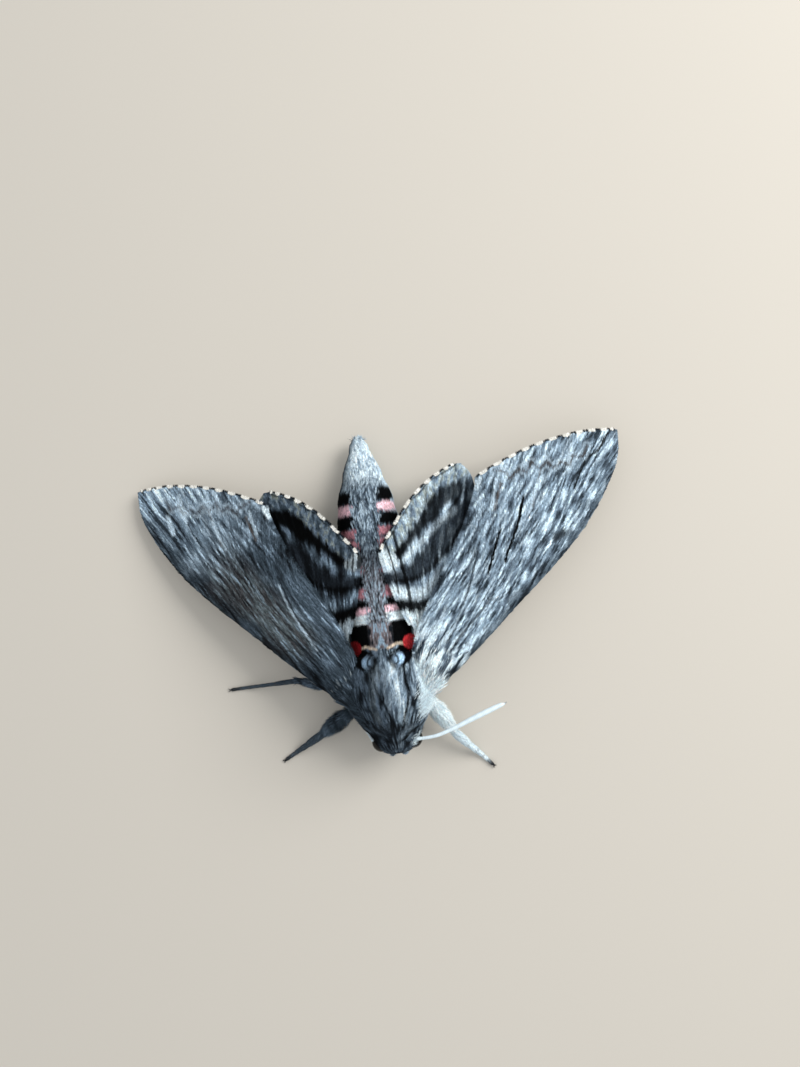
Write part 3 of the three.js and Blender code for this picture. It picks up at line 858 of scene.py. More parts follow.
def painted_along(blade, roots, ways, length, painter):
    """Colours of each blade's rows by where they lie, so that markings stay crisp."""
    reach = np.broadcast_to(length, len(roots))
    return np.stack([painter(roots + ways * (row * reach)[:, None]) for row in rows(blade)], axis=1)


def vary(tint, seed, amount=0.22):
    """Each hair is a little lighter or darker than its neighbours."""
    rng = np.random.default_rng(seed)
    return tint * (1 + amount * rng.standard_normal(len(tint)))[:, None, None]


# %% [markdown]
# Each hair is then turned into the lie of the coat, a little lifted and arched back down. At
# last all the hairs of one region become one mesh. Each hair also gets a tiny patch of its
# own on an unwrap of the skin, at its root's place, where its colour can be baked.

# %% Laying a coat
PATCH = 0.003
BLADE_GAP = 0.01
# Painted shade at the root of each blade and painted light at its tip.
ROOT_SHADE_LEVEL = 0.87
TIP_LIGHT_GAIN = 0.22


def lay_coat(name, blade, roots, normals, lies, length, width, lift, tint, spots, arch=0.12,
             material=None, slot="body_fur"):
    """One mesh of many blades. length, width and lift may differ from root to root."""
    shape, faces = blade
    count = len(roots)
    lies = unit(lies - (lies * normals).sum(1)[:, None] * normals)
    raised = np.broadcast_to(lift, count)[:, None]
    forward = lies * np.cos(raised) + normals * np.sin(raised)
    upward = normals * np.cos(raised) - lies * np.sin(raised)
    across = np.cross(upward, forward)
    long = np.broadcast_to(length, count)[:, None]
    wide = np.broadcast_to(width, count)[:, None]
    x, above, y = shape.T
    height = above * wide + arch * (y - 1.3 * y ** 2) * long
    points = (roots[:, None] + across[:, None] * (x * wide)[..., None]
              + forward[:, None] * (y * long)[..., None] + upward[:, None] * height[..., None])
    points[..., 2] = np.maximum(points[..., 2], BLADE_GAP)
    # Each blade is painted darker at its root, as painted shade where blades cover each other, and lighter
    # at its tip, as painted light.
    colour = tint[:, np.searchsorted(rows(blade), y.round(3))] * (ROOT_SHADE_LEVEL + TIP_LIGHT_GAIN * y)[:, None]
    patches = spots[:, None] + np.stack((x, y - 0.5), axis=1) * PATCH
    order = (faces[None] + (np.arange(count) * len(shape))[:, None, None]).reshape(-1, 3)
    piece = joined_mesh(name, points.reshape(-1, 3), order, colour.reshape(-1, 3),
                        patches.reshape(-1, 2))
    finish_piece(piece, material or BODY_FUR, slot)
    print(name, "blades", count, "triangles", len(order))


def joined_mesh(name, points, triangles, tint, spots):
    """One object from lists of corners and triangles, with its colours and its unwrap."""
    mesh = bpy.data.meshes.new(name)
    mesh.vertices.add(len(points))
    mesh.vertices.foreach_set("co", in_frame(points).astype(np.float32).ravel())
    mesh.loops.add(triangles.size)
    mesh.loops.foreach_set("vertex_index", triangles.astype(np.int32).ravel())
    mesh.polygons.add(len(triangles))
    mesh.polygons.foreach_set("loop_start", np.arange(0, triangles.size, 3, dtype=np.int32))
    mesh.update(calc_edges=True)
    unwrap = mesh.uv_layers.new(name="OFBake")
    unwrap.data.foreach_set("uv", spots[triangles.ravel()].astype(np.float32).ravel())
    piece = bpy.data.objects.new(name, mesh)
    bpy.context.collection.objects.link(piece)
    set_tint(piece, tint)
    only(piece)
    bpy.ops.object.shade_smooth_by_angle(angle=math.radians(75))
    return piece


# %% [markdown]
# On the trunk the hairs run back from the face to the tail. They start upright on the
# forehead, part a little to each side over the chest and wander in small clumps, as real
# ones do. The eyes stay bare.

# %% The lie of the trunk's fur
EYE_PLACE = np.array((2.5, 2.15, 5.2))
EYE_RADIUS = 1.55
EYE_MARGIN = 0.12


def trunk_lie(points, seed):
    """Which way the hair lies at each place of the trunk."""
    out, back = points[:, :2].T
    rng = np.random.default_rng(seed)
    sway = (drift(out * 0.9, back * 0.6, seed) - 0.5) * 0.9
    splay = 0.05 * out * close_to(back, 8, 6, 10) - 0.03 * out * rise(back, 40, 44)
    brow = 0.45 * out * fade(back, 3.0, 4.5)
    sideways = splay + brow + sway + rng.normal(0, 0.16, len(points))
    return np.column_stack((sideways, np.ones(len(points)), 1.2 * fade(back, 0.4, 2.2)))


def trunk_spots(points):
    """The trunk's unwrap: round the body across the sheet and along the body up it."""
    half_turn = way_round(points) * np.where(points[:, 0] < 0, -1, 1)
    return np.column_stack((0.5 + 0.49 * half_turn, 0.01 + 0.98 * points[:, 1] / (BODY_LENGTH + 1)))


def clear_of_eyes(points):
    """Whether each place lies outside the balls of the eyes."""
    folded = np.column_stack((np.abs(points[:, 0]), points[:, 1:]))
    return np.linalg.norm(folded - EYE_PLACE, axis=1) > EYE_RADIUS + EYE_MARGIN


# %% [markdown]
# The chest has the longest hair; the abdomen is short and close, and the tail ends in a
# brush. Over the false eyes the hair is shorter still, so that their drawing stays clear.

# %% Fur of the trunk
SADDLE_BACK = 18.0
SADDLE_HALF = 4.2
SADDLE_EDGE = 13.9
SADDLE_LENGTH = 0.5
UPPER_SIDE = 0.42


def trunk_fur(name, seed, count, start, end, lengths, width, lift, overlap, belly):
    """Fur from one distance back to another. lengths are given at the start and the end."""

    def weight(centres, facing):
        back = centres[:, 1]
        here = fade(start - back, -overlap, 0) * fade(back - end, -overlap, 0)
        bare = clear_of_eyes(centres) & (nearest_leg(centres)[0] < 0)
        return here * bare * np.where(facing[:, 2] < -0.2, belly, 1.0)

    roots, normals = scatter(skin, count, weight, seed)[:2]
    rng = np.random.default_rng(seed + 50)
    back = roots[:, 1]
    length = np.interp(back, (start, end), lengths)
    upper = way_round(roots) < UPPER_SIDE
    saddle = (np.abs(back - SADDLE_BACK) < SADDLE_HALF) & upper
    length = np.where(saddle, SADDLE_LENGTH, length)
    growing = SADDLE_LENGTH + 0.75 * np.abs(SADDLE_EDGE - back)
    length = np.where((back < SADDLE_EDGE) & upper, np.minimum(length, growing), length)
    length = length * rng.uniform(0.75, 1.2, count)
    lie = trunk_lie(roots, seed)
    tint = painted_along(HAIR, roots, unit(lie), length, body_tint)
    lay_coat(name, HAIR, roots, normals, lie, length, width,
             lift * rng.uniform(0.5, 1.5, count), vary(tint, seed), trunk_spots(roots))


TRUNK_FUR = [
    # name, hairs, from, to, length there and here, width, lift, overlap, share on the belly
    ("fur_head", 8600, -1.0, 5.2, (0.45, 1.0), 0.13, 0.2, 1.8, 0.35),
    ("fur_chest", 16000, 3.0, 16.4, (0.9, 1.3), 0.14, 0.18, 1.8, 0.35),
    ("fur_abdomen_front", 12000, 16.2, 32.0, (0.8, 0.75), 0.16, 0.14, 0.8, 0.35),
    ("fur_abdomen_rear", 12000, 31.6, 48.9, (0.75, 0.9), 0.16, 0.14, 0.8, 0.35),
    ("fur_tail_brush", 3400, 47.4, 52.0, (1.5, 1.0), 0.13, 0.10, 0.8, 0.8),
]
for number, (name, *settings) in enumerate(TRUNK_FUR):
    trunk_fur(name, 21 + number, *settings)

# %% [markdown]
# Fur on the legs lies towards the foot. It is short on the thigh, and on the shin it stands
# out as a fringe, longest in the middle.

# %% Fur of the legs


def leg_fur(pair, seed, count, lift):
    """Fur of the left and right leg of one pair."""
    numbers = [k for k, leg in enumerate(LEG_NAMES) if leg.startswith(pair)]

    def weight(centres, facing):
        return np.isin(nearest_leg(centres)[0], numbers) * 1.0

    roots, normals = scatter(skin, count, weight, seed)[:2]
    rng = np.random.default_rng(seed + 50)
    number, along, way = nearest_leg(roots)
    tint = painted_whole(HAIR, whole_body_tint(roots))
    length = np.interp(along, (0.3, 0.6, 0.8, 1.0), (0.6, 1.2, 1.2, 0.9)) * rng.uniform(0.75, 1.2, count)
    lie = way + rng.normal(0, 0.14, (count, 3))
    across = np.arctan2(normals[:, 2], (normals * np.roll(way, 1, axis=1)).sum(1)) / (2 * math.pi)
    spots = np.column_stack(((number % 2 + 0.5 + 0.9 * across) / 2, 0.02 + 0.96 * along))
    lay_coat(f"fur_{pair}s", HAIR, roots, normals, lie, length, 0.12,
             lift * rng.uniform(0.5, 1.5, count), vary(tint, seed, 0.18), spots,
             material=LEG_FUR, slot="leg_fur")


leg_fur("foreleg", seed=31, count=5000, lift=0.42)
leg_fur("midleg", seed=32, count=3900, lift=0.26)
leg_fur("hindleg", seed=33, count=4300, lift=0.26)

# %% [markdown]
# The forewing is flat in plan and then arched, rolled, drooped and swung into its pose. The
# plan runs along the wing from the hinge and across it towards the hind edge. Front and hind
# outlines are the same smooth lines that the solid wings were made from. A wing could be
# shaped in its pose at once, but in the flat plan every marking is far easier to place.

# %% Forewing plan and pose
FOREWING_LENGTH = 52.3
FOREWING_FRONT = [
    (0, 0), (3.3, -0.2), (6.5, -0.7), (13, -1.8), (19.5, -2.7), (26, -3.7), (31, -4.3),
    (34.5, -4.55), (37.5, -4.5), (41, -4.3), (44.3, -3.8), (47.4, -3.1), (50, -1.9),
    (FOREWING_LENGTH, -0.15)]
FOREWING_HIND = [
    (0.6, 2.6), (2.4, 4.8), (5, 7.1), (11, 8.9), (17.5, 10.1), (24, 11.3), (28.5, 12.5),
    (31.2, 13.5), (32.9, 14.2), (37.3, 12.4), (41.5, 10.2), (45.5, 7.5), (49.3, 4.2),
    (FOREWING_LENGTH + 0.05, 0.5)]
FOREWING_CORNER = 8 / 13
FOREWING_HINGE = np.array((6.5, 8.2, 9.7))
FOREWING_POSE = {1: (43.0, 5.6, 5.6), -1: (38.5, 9.1, 7.6)}
FOREWING_CAMBER = 0.55
HINGE_DIP = 0.9


def forewing_turn(side):
    """The rotation from the flat plan to the pose: sweep, droop and roll."""
    sweep, droop, roll = (math.radians(angle) for angle in FOREWING_POSE[side])
    turn = Matrix.Rotation(-sweep, 3, "Z") @ Matrix.Rotation(-droop, 3, "X") @ Matrix.Rotation(roll, 3, "Y")
    return np.array(turn)


def pose_forewing(side, plan, height):
    """Plan and height over it become moth millimetres on the left or right side."""
    flat = np.column_stack((-plan[:, 1], plan[:, 0], height))
    points = flat @ forewing_turn(side).T + FOREWING_HINGE
    points[:, 0] *= side
    return points


def forewing_arch(t, s):
    """Height over the flat plan. The root dips, so that it goes into the fur of the shoulder."""
    camber = 4 * s * (1 - s) * FOREWING_CAMBER * np.sin(math.pi * np.minimum(1, t + 0.2))
    return camber - HINGE_DIP * fade(t, 0.0, 0.06)


print("forewing tip at", pose_forewing(1, np.array([(FOREWING_LENGTH, 0.0)]), np.zeros(1)).round(1))

# %% [markdown]
# The hindwing hangs from a crest beside the abdomen and slopes down towards its front edge,
# so its height follows from its plan by one formula.

# %% Hindwing plan and pose
HINDWING_FRONT = [
    (5.9, 14.6), (8.0, 17.0), (10.4, 19.8), (13.2, 24.0), (15.6, 29.2), (17.3, 34.6),
    (18.0, 38.6), (18.0, 41.4), (17.4, 43.3), (16.3, 44.6)]
HINDWING_HIND = [
    (5.5, 16.8), (4.6, 19.6), (3.4, 22.6), (2.5, 25.8), (1.7, 29.2), (1.5, 32.0),
    (3.6, 35.2), (7.4, 39.9), (11.4, 43.1), (15.2, 44.9)]
HINDWING_CORNER = 5 / 9


def pose_hindwing(side, plan, height):
    """Plan and height over it become moth millimetres on the left or right side."""
    out = plan[:, 0] - 3.4
    back = plan[:, 1] - 22.5
    rest = 8.75 - 0.17 * out - 0.004 * out ** 2 - 0.0023 * back ** 2
    return np.column_stack((side * plan[:, 0], plan[:, 1], rest + height))


# %% [markdown]
# Veins, brush strokes and scales all follow one flow over the forewing: along it near the
# root and the front edge, and fanning out towards the hind corner past the middle cell.
# Tracing a point back along the flow to the root tells which stroke it belongs to.

# %% The flow of the forewing
FAN_ANGLE = math.radians(38)
FLOW_START = 10.0


def forewing_flow(plan):
    """Angle of the flow away from the line of the wing, at each place of the plan."""
    along, across = plan.T
    fan = np.clip((across + 3.5) / 14.5, 0, 1.2)
    grown = np.clip((along - 11) / 17, 0, 1)
    near_root = 0.10 * np.clip(1 - along / 9, 0, 1) * across
    return FAN_ANGLE * fan * grown * grown * (3 - 2 * grown) + 0.05 * fan + near_root


def trace_back(plan, steps=36):
    """Where each place's stroke crosses the root end of the wing."""
    spot = plan.copy()
    step = (plan[:, 0] - FLOW_START) / steps
    for _ in range(steps):
        spot[:, 1] -= np.tan(forewing_flow(spot)) * step
        spot[:, 0] -= step
    return spot[:, 1]


def flow_line(start, length, step=0.6):
    """One stroke followed outwards from its start."""
    places = [np.array(start, float)]
    for _ in range(int(length / step)):
        angle = forewing_flow(places[-1][None])[0]
        places.append(places[-1] + step * np.array((math.cos(angle), math.sin(angle))))
    return places[::4] + [places[-1]]


CELL_END = [(23.0, -2.6), (24.0, -1.6), (24.6, -0.6), (24.6, 0.7), (23.6, 1.8), (21.5, 2.7), (18.0, 3.3)]
FOREWING_VEINS = [flow_line(start, 34) for start in CELL_END]
FOREWING_VEINS += [[(2.0, -0.1), (13, -1.2), (23.0, -2.6)], [(2.5, 1.0), (10, 1.9), (18, 3.3), (21.5, 2.7)]]
FOREWING_VEINS += [flow_line((3.0, 2.8), 31), flow_line((3.0, 4.4), 28)]
print("forewing veins:", len(FOREWING_VEINS))

# %% [markdown]
# The forewing is a brushed grey like weathered bark. Two black dashes lie in the middle cells, a dark
# streak runs in from the tip, thin lines follow the veins, and a zigzag runs inside the outer edge. Each
# mark is a short line in the wing's plan with a width and a colour, and with a strength for each wing,
# because real wings never match, and because the right wing is painted in shade, where most marks show
# less.

# %% Markings of the forewing
FOREWING_MARKS = [
    # line, half width, soft edge, colour, strength on the left wing and on the right wing
    ([(34.3, 6.2), (30.4, 4.6), (26.9, 3.6), (24.1, 2.8)], 0.13, 0.28, BLACK, 1.0, 0.55),
    ([(27.6, 6.2), (24.5, 5.1), (20.9, 3.9)], 0.12, 0.26, BLACK, 1.0, 0.7),
    ([(50.9, 0.9), (47.8, 0.5), (45.7, 1.3), (43.2, 1.0), (40.2, 0.3)], 0.11, 0.28, BLACK, 0.95, 0.3),
    ([(23.0, 7.2), (18.7, 5.6), (15.6, 4.5), (11.5, 3.5), (8.5, 3.0)], 0.08, 0.25, SOOT, 0.85, 0.85),
    ([(18.9, 1.4), (15.1, 1.5), (11.0, 1.9), (7.0, 1.9)], 0.08, 0.25, SOOT, 0.75, 0.75),
    ([(32.7, 3.1), (27.9, 2.2), (22.8, 1.4)], 0.05, 0.22, SOOT, 0.5, 0.5),
    ([(33.9, 10.3), (32.1, 9.6), (29.9, 8.8)], 0.10, 0.32, UMBER, 0.7, 0.7),
    ([(24.3, 7.9), (20.3, 6.8), (17.0, 6.3)], 0.06, 0.25, SOOT, 0.6, 0.6),
    ([(39.6, 6.4), (36.6, 5.2), (33.8, 4.1)], 0.06, 0.24, UMBER, 0.6, 0.6),
    ([(43.6, 3.2), (40.4, 2.2), (37.5, 1.5)], 0.05, 0.22, SOOT, 0.5, 0.5),
    ([(39.9, -3.6), (39.3, -2.8), (38.5, -2.2)], 0.5, 1.1, SLATE, 0.6, 0.6),
    ([(33.8, -3.6), (33.0, -2.4), (32.3, -1.6)], 0.5, 1.1, SLATE, 0.7, 0.7),
    ([(22.3, -2.8), (20.8, -2.0), (19.7, -1.6)], 0.6, 1.2, SLATE, 0.7, 0.7),
    ([(47.5, -2.2), (45.8, -1.2), (43.8, -1.6)], 0.6, 1.4, SLATE, 0.3, 0.3),
    ([(33.2, -2.2), (32.5, -1.9), (31.7, -1.7)], 0.28, 0.8, SOOT, 0.85, 0.2),
    ([(6.3, 4.4), (5.6, 4.3), (4.9, 4.2)], 0.15, 0.45, SOOT, 0.85, 0.85),
    ([(45.9, 4.6), (44.2, 3.8), (42.3, 2.9)], 0.15, 0.5, FROST, 0.8, 0.8),
    ([(38.0, 5.9), (35.4, 4.9), (32.8, 4.1)], 0.12, 0.4, FROST, 0.6, 0.6),
    ([(21.8, 6.3), (18.6, 5.1), (14.4, 4.1), (10.0, 3.4)], 0.05, 0.22, FROST, 0.7, 0.7),
    ([(45.3, 4.1), (43.6, 3.3), (41.9, 2.6)], 0.25, 0.6, FROST, 0.5, 0.9),
    ([(44.9, 0.8), (43.5, 0.0), (42.1, -0.6)], 0.25, 0.6, FROST, 0.0, 0.9),
    ([(37.9, 5.7), (36.4, 5.1), (34.9, 4.6)], 0.08, 0.3, FROST, 0.4, 0.7),
    ([(34.1, 11.3), (32.3, 10.4), (30.5, 9.6)], 0.10, 0.4, FROST, 0.8, 0.8),
    ([(32.7, 13.4), (31.8, 13.2), (30.9, 13.0)], 0.2, 0.5, WHITE, 0.3, 0.8),
    ([(45.7, 1.5), (45.4, 1.2), (45.1, 1.0)], 0.22, 0.45, BLACK, 0.0, 0.9),
    ([(39.9, 8.2), (39.3, 8.5), (38.9, 7.7)], 0.12, 0.35, SOOT, 0.8, 0.3),
    ([(37.9, 9.4), (37.3, 9.0), (37.0, 8.2)], 0.12, 0.35, SOOT, 0.8, 0.3),
]
ZIGZAG = [(35.2, 12.4), (35.9, 10.6), (35.4, 9.6), (37.6, 9.2), (37.9, 8.0), (39.7, 8.2), (39.6, 6.6),
          (41.2, 6.4), (41.0, 4.9), (42.6, 4.4), (42.9, 3.0), (44.6, 3.3), (45.4, 2.0), (47.2, 2.4)]
FOREWING_CHECKS = 11
print("forewing marks:", len(FOREWING_MARKS))

# %% [markdown]
# Three grains of different length make the brushed ground: a fine one like scales, a broad one along the
# strokes, and slow patches. They are mixed into one value, which picks its colour from a row of greys:
# bright on the lit left wing, and on the right darker, as painted shade that lifts towards the tip. Over
# that go the marks, the veins, the zigzag, the dark front rim and the white down at the root; the rim is
# painted wider and darker on the right as shade, and the white down only on the lit left wing.

# %% Painting the forewing
UPPER_GRAIN = 40


def outer_edge_place(t, corner, checks):
    """Which check of the outer edge a place belongs to, growing closer towards the tip."""
    q = np.clip((t - corner) / (1 - corner), 0, 1)
    return checks * (1 - (1 - q) ** 0.8)


def forewing_tint(plan, t, s, side):
    """Colours of the upper side, by the place in the plan and the shares t along and s across."""
    along, across = plan.T
    light = 1.0 if side > 0 else 0.0
    wander = drift(along / 7.0, across / 3.0, UPPER_GRAIN + 5)
    grain = across - 0.09 * along + 0.8 * wander
    length = 2.4 - 0.8 * light
    fine = 0.65 * drift(grain / 0.22, along / length, UPPER_GRAIN)
    fine = fine + 0.35 * drift(grain / 0.42, along / (1.7 * length), UPPER_GRAIN + 3)
    stroke = trace_back(plan)
    broad = drift(stroke * 2.2, along / 4.0, UPPER_GRAIN + 1)
    patchy = drift(stroke * 0.5, along / 6.0, UPPER_GRAIN + 2)
    brushed = drift(stroke * 7.0, along / 8.0, UPPER_GRAIN + 4)
    long_strokes = 0.22 - 0.14 * light
    value = 0.06 * broad + 0.07 * patchy + long_strokes * brushed + (0.87 - long_strokes) * fine
    value = spread(value, 2.35 if side > 0 else np.interp(along, (18, 36), (1.8, 2.5)))
    # The left wing is painted bright, as lit, and the right wing darker, as painted shade.
    bright = ramp(value, SLATE * 0.5, STEEL * 0.8, ASH * 0.75, ASH, FROST, FROST * 1.25)
    shaded_tint = ramp(value, SOOT * 0.6, SLATE * 0.6, SLATE, SLATE * 1.2, STEEL, ASH * 1.1)
    earthy = fade(across, 3.0, 7.0) * fade(along, 30.0, 38.0) * rise(along, 8.0, 14.0)
    shaded_tint = dab(shaded_tint, earthy * 0.45, ramp(value, SOOT, UMBER * 0.7, UMBER, OLIVE * 0.7, OLIVE, ASH))
    # The right wing's painted shade lifts towards the tip, and both wings are painted lighter or darker
    # along their length, as painted light.
    shaded_tint = dab(shaded_tint, np.interp(along, (28, 36, 42, 46), (0.0, 0.4, 0.75, 1.0)), bright)
    level = np.interp(along, (10, 18, 24, 28, 34, 46, 50), (0.85, 1.0, 0.85, 0.85, 1.0, 1.05, 1.4))
    shaded_tint = shaded_tint * level[:, None]
    bright = bright * np.interp(along, (22, 30, 36, 44), (0.95, 1.05, 1.08, 1.0))[:, None]
    tint = shaded_tint + (bright - shaded_tint) * light
    tint = dab(tint, close_to(broad, 0.5, 0.02, 0.10) * 0.35, SOOT)
    for places, half_width, edge, colour, left_strength, right_strength in FOREWING_MARKS:
        strength = left_strength if side > 0 else right_strength
        mask = fade(off_line(plan, places), half_width, edge)
        broken = 1.0 if colour is BLACK else 0.75 + 0.4 * fine
        tint = dab(tint, mask * strength * broken, colour)
    for places in FOREWING_VEINS:
        tint = dab(tint, fade(off_line(plan, places), 0.04, 0.17) * 0.25, SOOT)
    zigzag = off_line(plan, ZIGZAG, 1)
    tint = dab(tint, fade(zigzag, 0.05, 0.28) * (0.5 + 0.2 * light), UMBER * 0.7)
    tint = dab(tint, close_to(zigzag, 0.55, 0.1, 0.35) * rise(along, 34, 36) * 0.4, FROST)
    # The dark front rim is painted wider and darker on the right wing, as painted shade.
    rim = s * np.interp(t, (0, 0.1, 0.6, 0.9, 1), (2.5, 8, 18, 9, 0.6))
    reach = (1.6 + 1.8 * (1 - light)) * np.interp(t, (0.65, 0.88), (1.0, 0.2))
    rim_tint = ramp(fine, BLACK, SOOT, SLATE, STEEL) * (0.55 + 0.65 * light)
    tint = dab(tint, fade(rim, reach * 0.1, reach) * 0.85, rim_tint)
    # The white down at the root is painted on the lit left wing only.
    downy = fade(along, 2.4, 4.6) + 0.9 * fade(along, 5.0, 11.0) * rise(value, 0.42, 0.62)
    return dab(tint, np.minimum(downy, 1) * light, WHITE)


def forewing_under_tint(plan, t, s, side):
    """Colours of the plain under side."""
    along, across = plan.T
    tint = dab(plain(OLIVE, len(plan)), drift(along / 1.5, across * 2, 71) * 0.6, UMBER)
    tint = dab(tint, fade(along, 8, 26) * 0.5, STEEL)
    return dab(tint, close_to(off_line(plan, ZIGZAG, 1), 1.5, 0.3, 1.0) * 0.4, UMBER)


# %% [markdown]
# The hindwing is banded across: a black bar near the root, a blue-white band, a smoky double
# band, a narrow pale one, a broad black one that thickens outwards, and an olive-grey edge.
# Dark veins cut through the pale bands.

# %% Markings of the hindwing
ROOT_BAR = [(2.0, 24.2), (3.3, 23.7), (5.8, 22.8), (8.2, 23.0), (10.5, 24.0)]
RIGHT_BAR_WIDER = 1.25
BROAD_BAND = [(3.4, 30.6), (4.9, 31.7), (6.1, 32.8), (8.1, 35.0), (9.9, 36.8), (12.0, 38.6), (15.0, 40.4)]
HINDWING_BANDS = [
    # line, half width near the tail and near the front edge, soft edge, colour, strength
    (ROOT_BAR, 0.85, 0.75, 0.25, BLACK, 1.0),
    ([(2.8, 25.6), (4.2, 25.0), (6.1, 24.7), (8.0, 24.9), (11.0, 27.5)], 0.65, 0.5, 0.7, FROST, 1.0),
    ([(2.9, 27.7), (5.5, 27.9), (7.0, 28.7), (8.7, 30.2), (10.7, 31.9), (12.4, 33.4), (15.4, 36.6)],
     0.95, 1.9, 0.9, SOOT, 0.95),
    ([(3.1, 27.0), (5.8, 26.9), (8.0, 27.6), (10.4, 29.2), (12.8, 31.4), (15.2, 34.4)],
     0.25, 0.35, 0.4, BLACK, 0.9),
    ([(2.6, 29.0), (5.0, 30.2), (6.7, 31.4), (8.5, 32.8), (10.0, 34.2), (11.8, 35.6), (14.2, 37.0)],
     0.30, 0.35, 0.45, FROST, 0.95),
    (BROAD_BAND, 0.5, 1.35, 0.55, BLACK, 1.0),
    ([(17.3, 34.0), (17.3, 38.0), (16.6, 41.0)], 1.0, 1.0, 1.2, SOOT, 0.75),
]
HINDWING_VEINS = [
    [(4.2, 34.8), (4.5, 32.0), (4.8, 29.6), (5.3, 25.5), (5.3, 22.0)],
    [(2.7, 33.4), (3.1, 31.4), (3.6, 28.0), (3.7, 25.0)],
    [(7.6, 38.8), (7.0, 34.0), (6.5, 29.6), (6.6, 25.0), (6.4, 21.0)],
    [(10.4, 41.2), (9.4, 36.5), (8.4, 31.6), (7.6, 26.0), (7.0, 21.0)],
    [(13.2, 43.2), (11.9, 38.4), (10.4, 33.0), (8.6, 26.4), (7.4, 21.0)],
    [(15.6, 44.2), (14.2, 38.8), (12.2, 32.6), (9.6, 26.6), (7.8, 20.6)],
    [(17.2, 42.6), (16.2, 37.6), (14.0, 31.8), (10.6, 25.2), (8.0, 20.0)],
]
HINDWING_CHECKS = 9
print("hindwing bands:", len(HINDWING_BANDS))

# %% [markdown]
# All the hairs of the hindwing fan out from its root, so its grain follows the angle and the distance from
# there. The right wing is painted darker, as painted shade, with the same bands.

# %% Painting the hindwing
HINDWING_ROOT = np.array((6.6, 9.0))


def hindwing_tint(plan, t, s, side):
    """Colours of the upper side, by the place in the plan."""
    out, back = plan.T
    light = 1.0 if side > 0 else 0.0
    fan = (plan - HINDWING_ROOT).T
    turn = np.arctan2(*fan)
    reach = np.hypot(*fan)
    hairs = 0.6 * drift(turn * 70, reach / 1.6, 61) + 0.4 * drift(turn * 30, reach / 3.0, 62)
    hairs = spread(hairs, 2.2)
    grain = spread(0.5 * drift(turn * 60, reach / 0.7, 63) + 0.5 * drift(turn * 90, reach / 0.5, 64), 2.2)
    # The left wing is painted in lit colours and the right wing darker, as painted shade.
    if side > 0:
        tint = ramp(hairs, SLATE, STEEL, ASH, FROST)
        margin_tint = ramp(grain, STEEL, ASH, OLIVE * 1.7, FROST)
    else:
        tint = ramp(hairs, BLACK, SOOT, SLATE, STEEL) * 0.9
        margin_tint = ramp(grain, SLATE * 0.7, SLATE, STEEL, OLIVE)
    # The white root is painted dimmer on the right, as painted shade.
    tint = dab(tint, fade(back, 21.0, 25.0) * (0.35 + 0.65 * light), ramp(hairs, FROST, WHITE, WHITE))
    to_margin = off_line(plan, HINDWING_HIND[5:])
    margin = fade(to_margin, 2.4, 3.4) * rise(back, 29.5, 31.0)
    tint = dab(tint, margin * 0.95, margin_tint)
    towards_front = np.clip((out - 3.5) / 10.0, 0, 1)
    for places, near, far, soft_edge, colour, strength in HINDWING_BANDS:
        half = near + (far - near) * towards_front
        if places is ROOT_BAR and side < 0:
            half = half * RIGHT_BAR_WIDER
        away = off_line(plan, places) + (0.2 + 0.5 * half) * (hairs - 0.5)
        mask = fade(away, half - soft_edge * 0.5, half + soft_edge)
        # Pale bands are painted dimmer on the right, in its painted shade.
        if colour is FROST:
            mask = mask * (1 - 0.72 * np.clip(towards_front * 1.4, 0, 1)) * (0.85 + 0.15 * light)
            shaded_pale = ramp(hairs, SOOT, SLATE, ASH) * (1.7 - 0.8 * towards_front)[:, None]
            pale = ramp(hairs, FROST, WHITE, WHITE) * light + shaded_pale * (1 - light)
            tint = dab(tint, mask * strength, pale)
        else:
            mask = mask * strength * (1 - 0.1 * light * towards_front)
            depth = light + (1 - light) * (0.4 + 0.8 * hairs * hairs)
            tint = dab(tint, mask, colour * depth[:, None])
    # The cream corner is painted dimmer on the right, with stronger dark stripes, as painted shade.
    cream = fade(off_line(plan, [(2.0, 31.6), (2.5, 30.4), (3.3, 30.6)]), 0.6, 1.1)
    tint = dab(tint, cream * (0.4 + 0.5 * light), WHITE)
    stripes = close_to(turn * 26 % 1, 0.5, 0.12, 0.28)
    tint = dab(tint, cream * stripes * (0.9 - 0.6 * light), BLACK)
    # Veins are painted stronger and wider on the lit left wing.
    for number, places in enumerate(HINDWING_VEINS):
        width = 0.07 + 0.06 * light if number == 0 else 0.04
        strength = 0.4 + 0.5 * light if number < 2 else 0.2 + 0.3 * light
        tint = dab(tint, fade(off_line(plan, places), width, width + 0.18) * strength, BLACK)
    edge_line = np.abs(to_margin - 0.62 - 0.12 * np.sin(back * 2.2))
    tint = dab(tint, fade(edge_line, 0.04, 0.2) * rise(back, 31.5, 32.5) * 0.85, BLACK)
    # A painted shadow runs along the inner edge, where the wing meets the abdomen, stronger on the left
    # wing.
    inner_edge_shadow = fade(off_line(plan, HINDWING_HIND[1:6]), 0.15, 0.4) * close_to(back, 26.5, 3.0, 4.5)
    return dab(tint, inner_edge_shadow * (0.4 + 0.5 * light), BLACK)


def hindwing_under_tint(plan, t, s, side):
    """Colours of the plain under side, where the broad band shows through."""
    out, back = plan.T
    tint = dab(plain(OLIVE, len(plan)), drift(out * 1.5, back / 1.5, 72) * 0.6, ASH)
    return dab(tint, fade(off_line(plan, BROAD_BAND), 0.4, 1.4) * 0.5, UMBER)


# %% [markdown]
# The membrane of a wing stops short of the hind edge, because the last half millimetre of a
# moth's wing is a fringe of loose scales. Its veins stand out as low ridges.

# %% Edges and veins of the membranes
MEMBRANE = 0.24
FRINGE = 0.5
VEIN_HEIGHT = 0.08
VEIN_HALF_WIDTH = 0.16


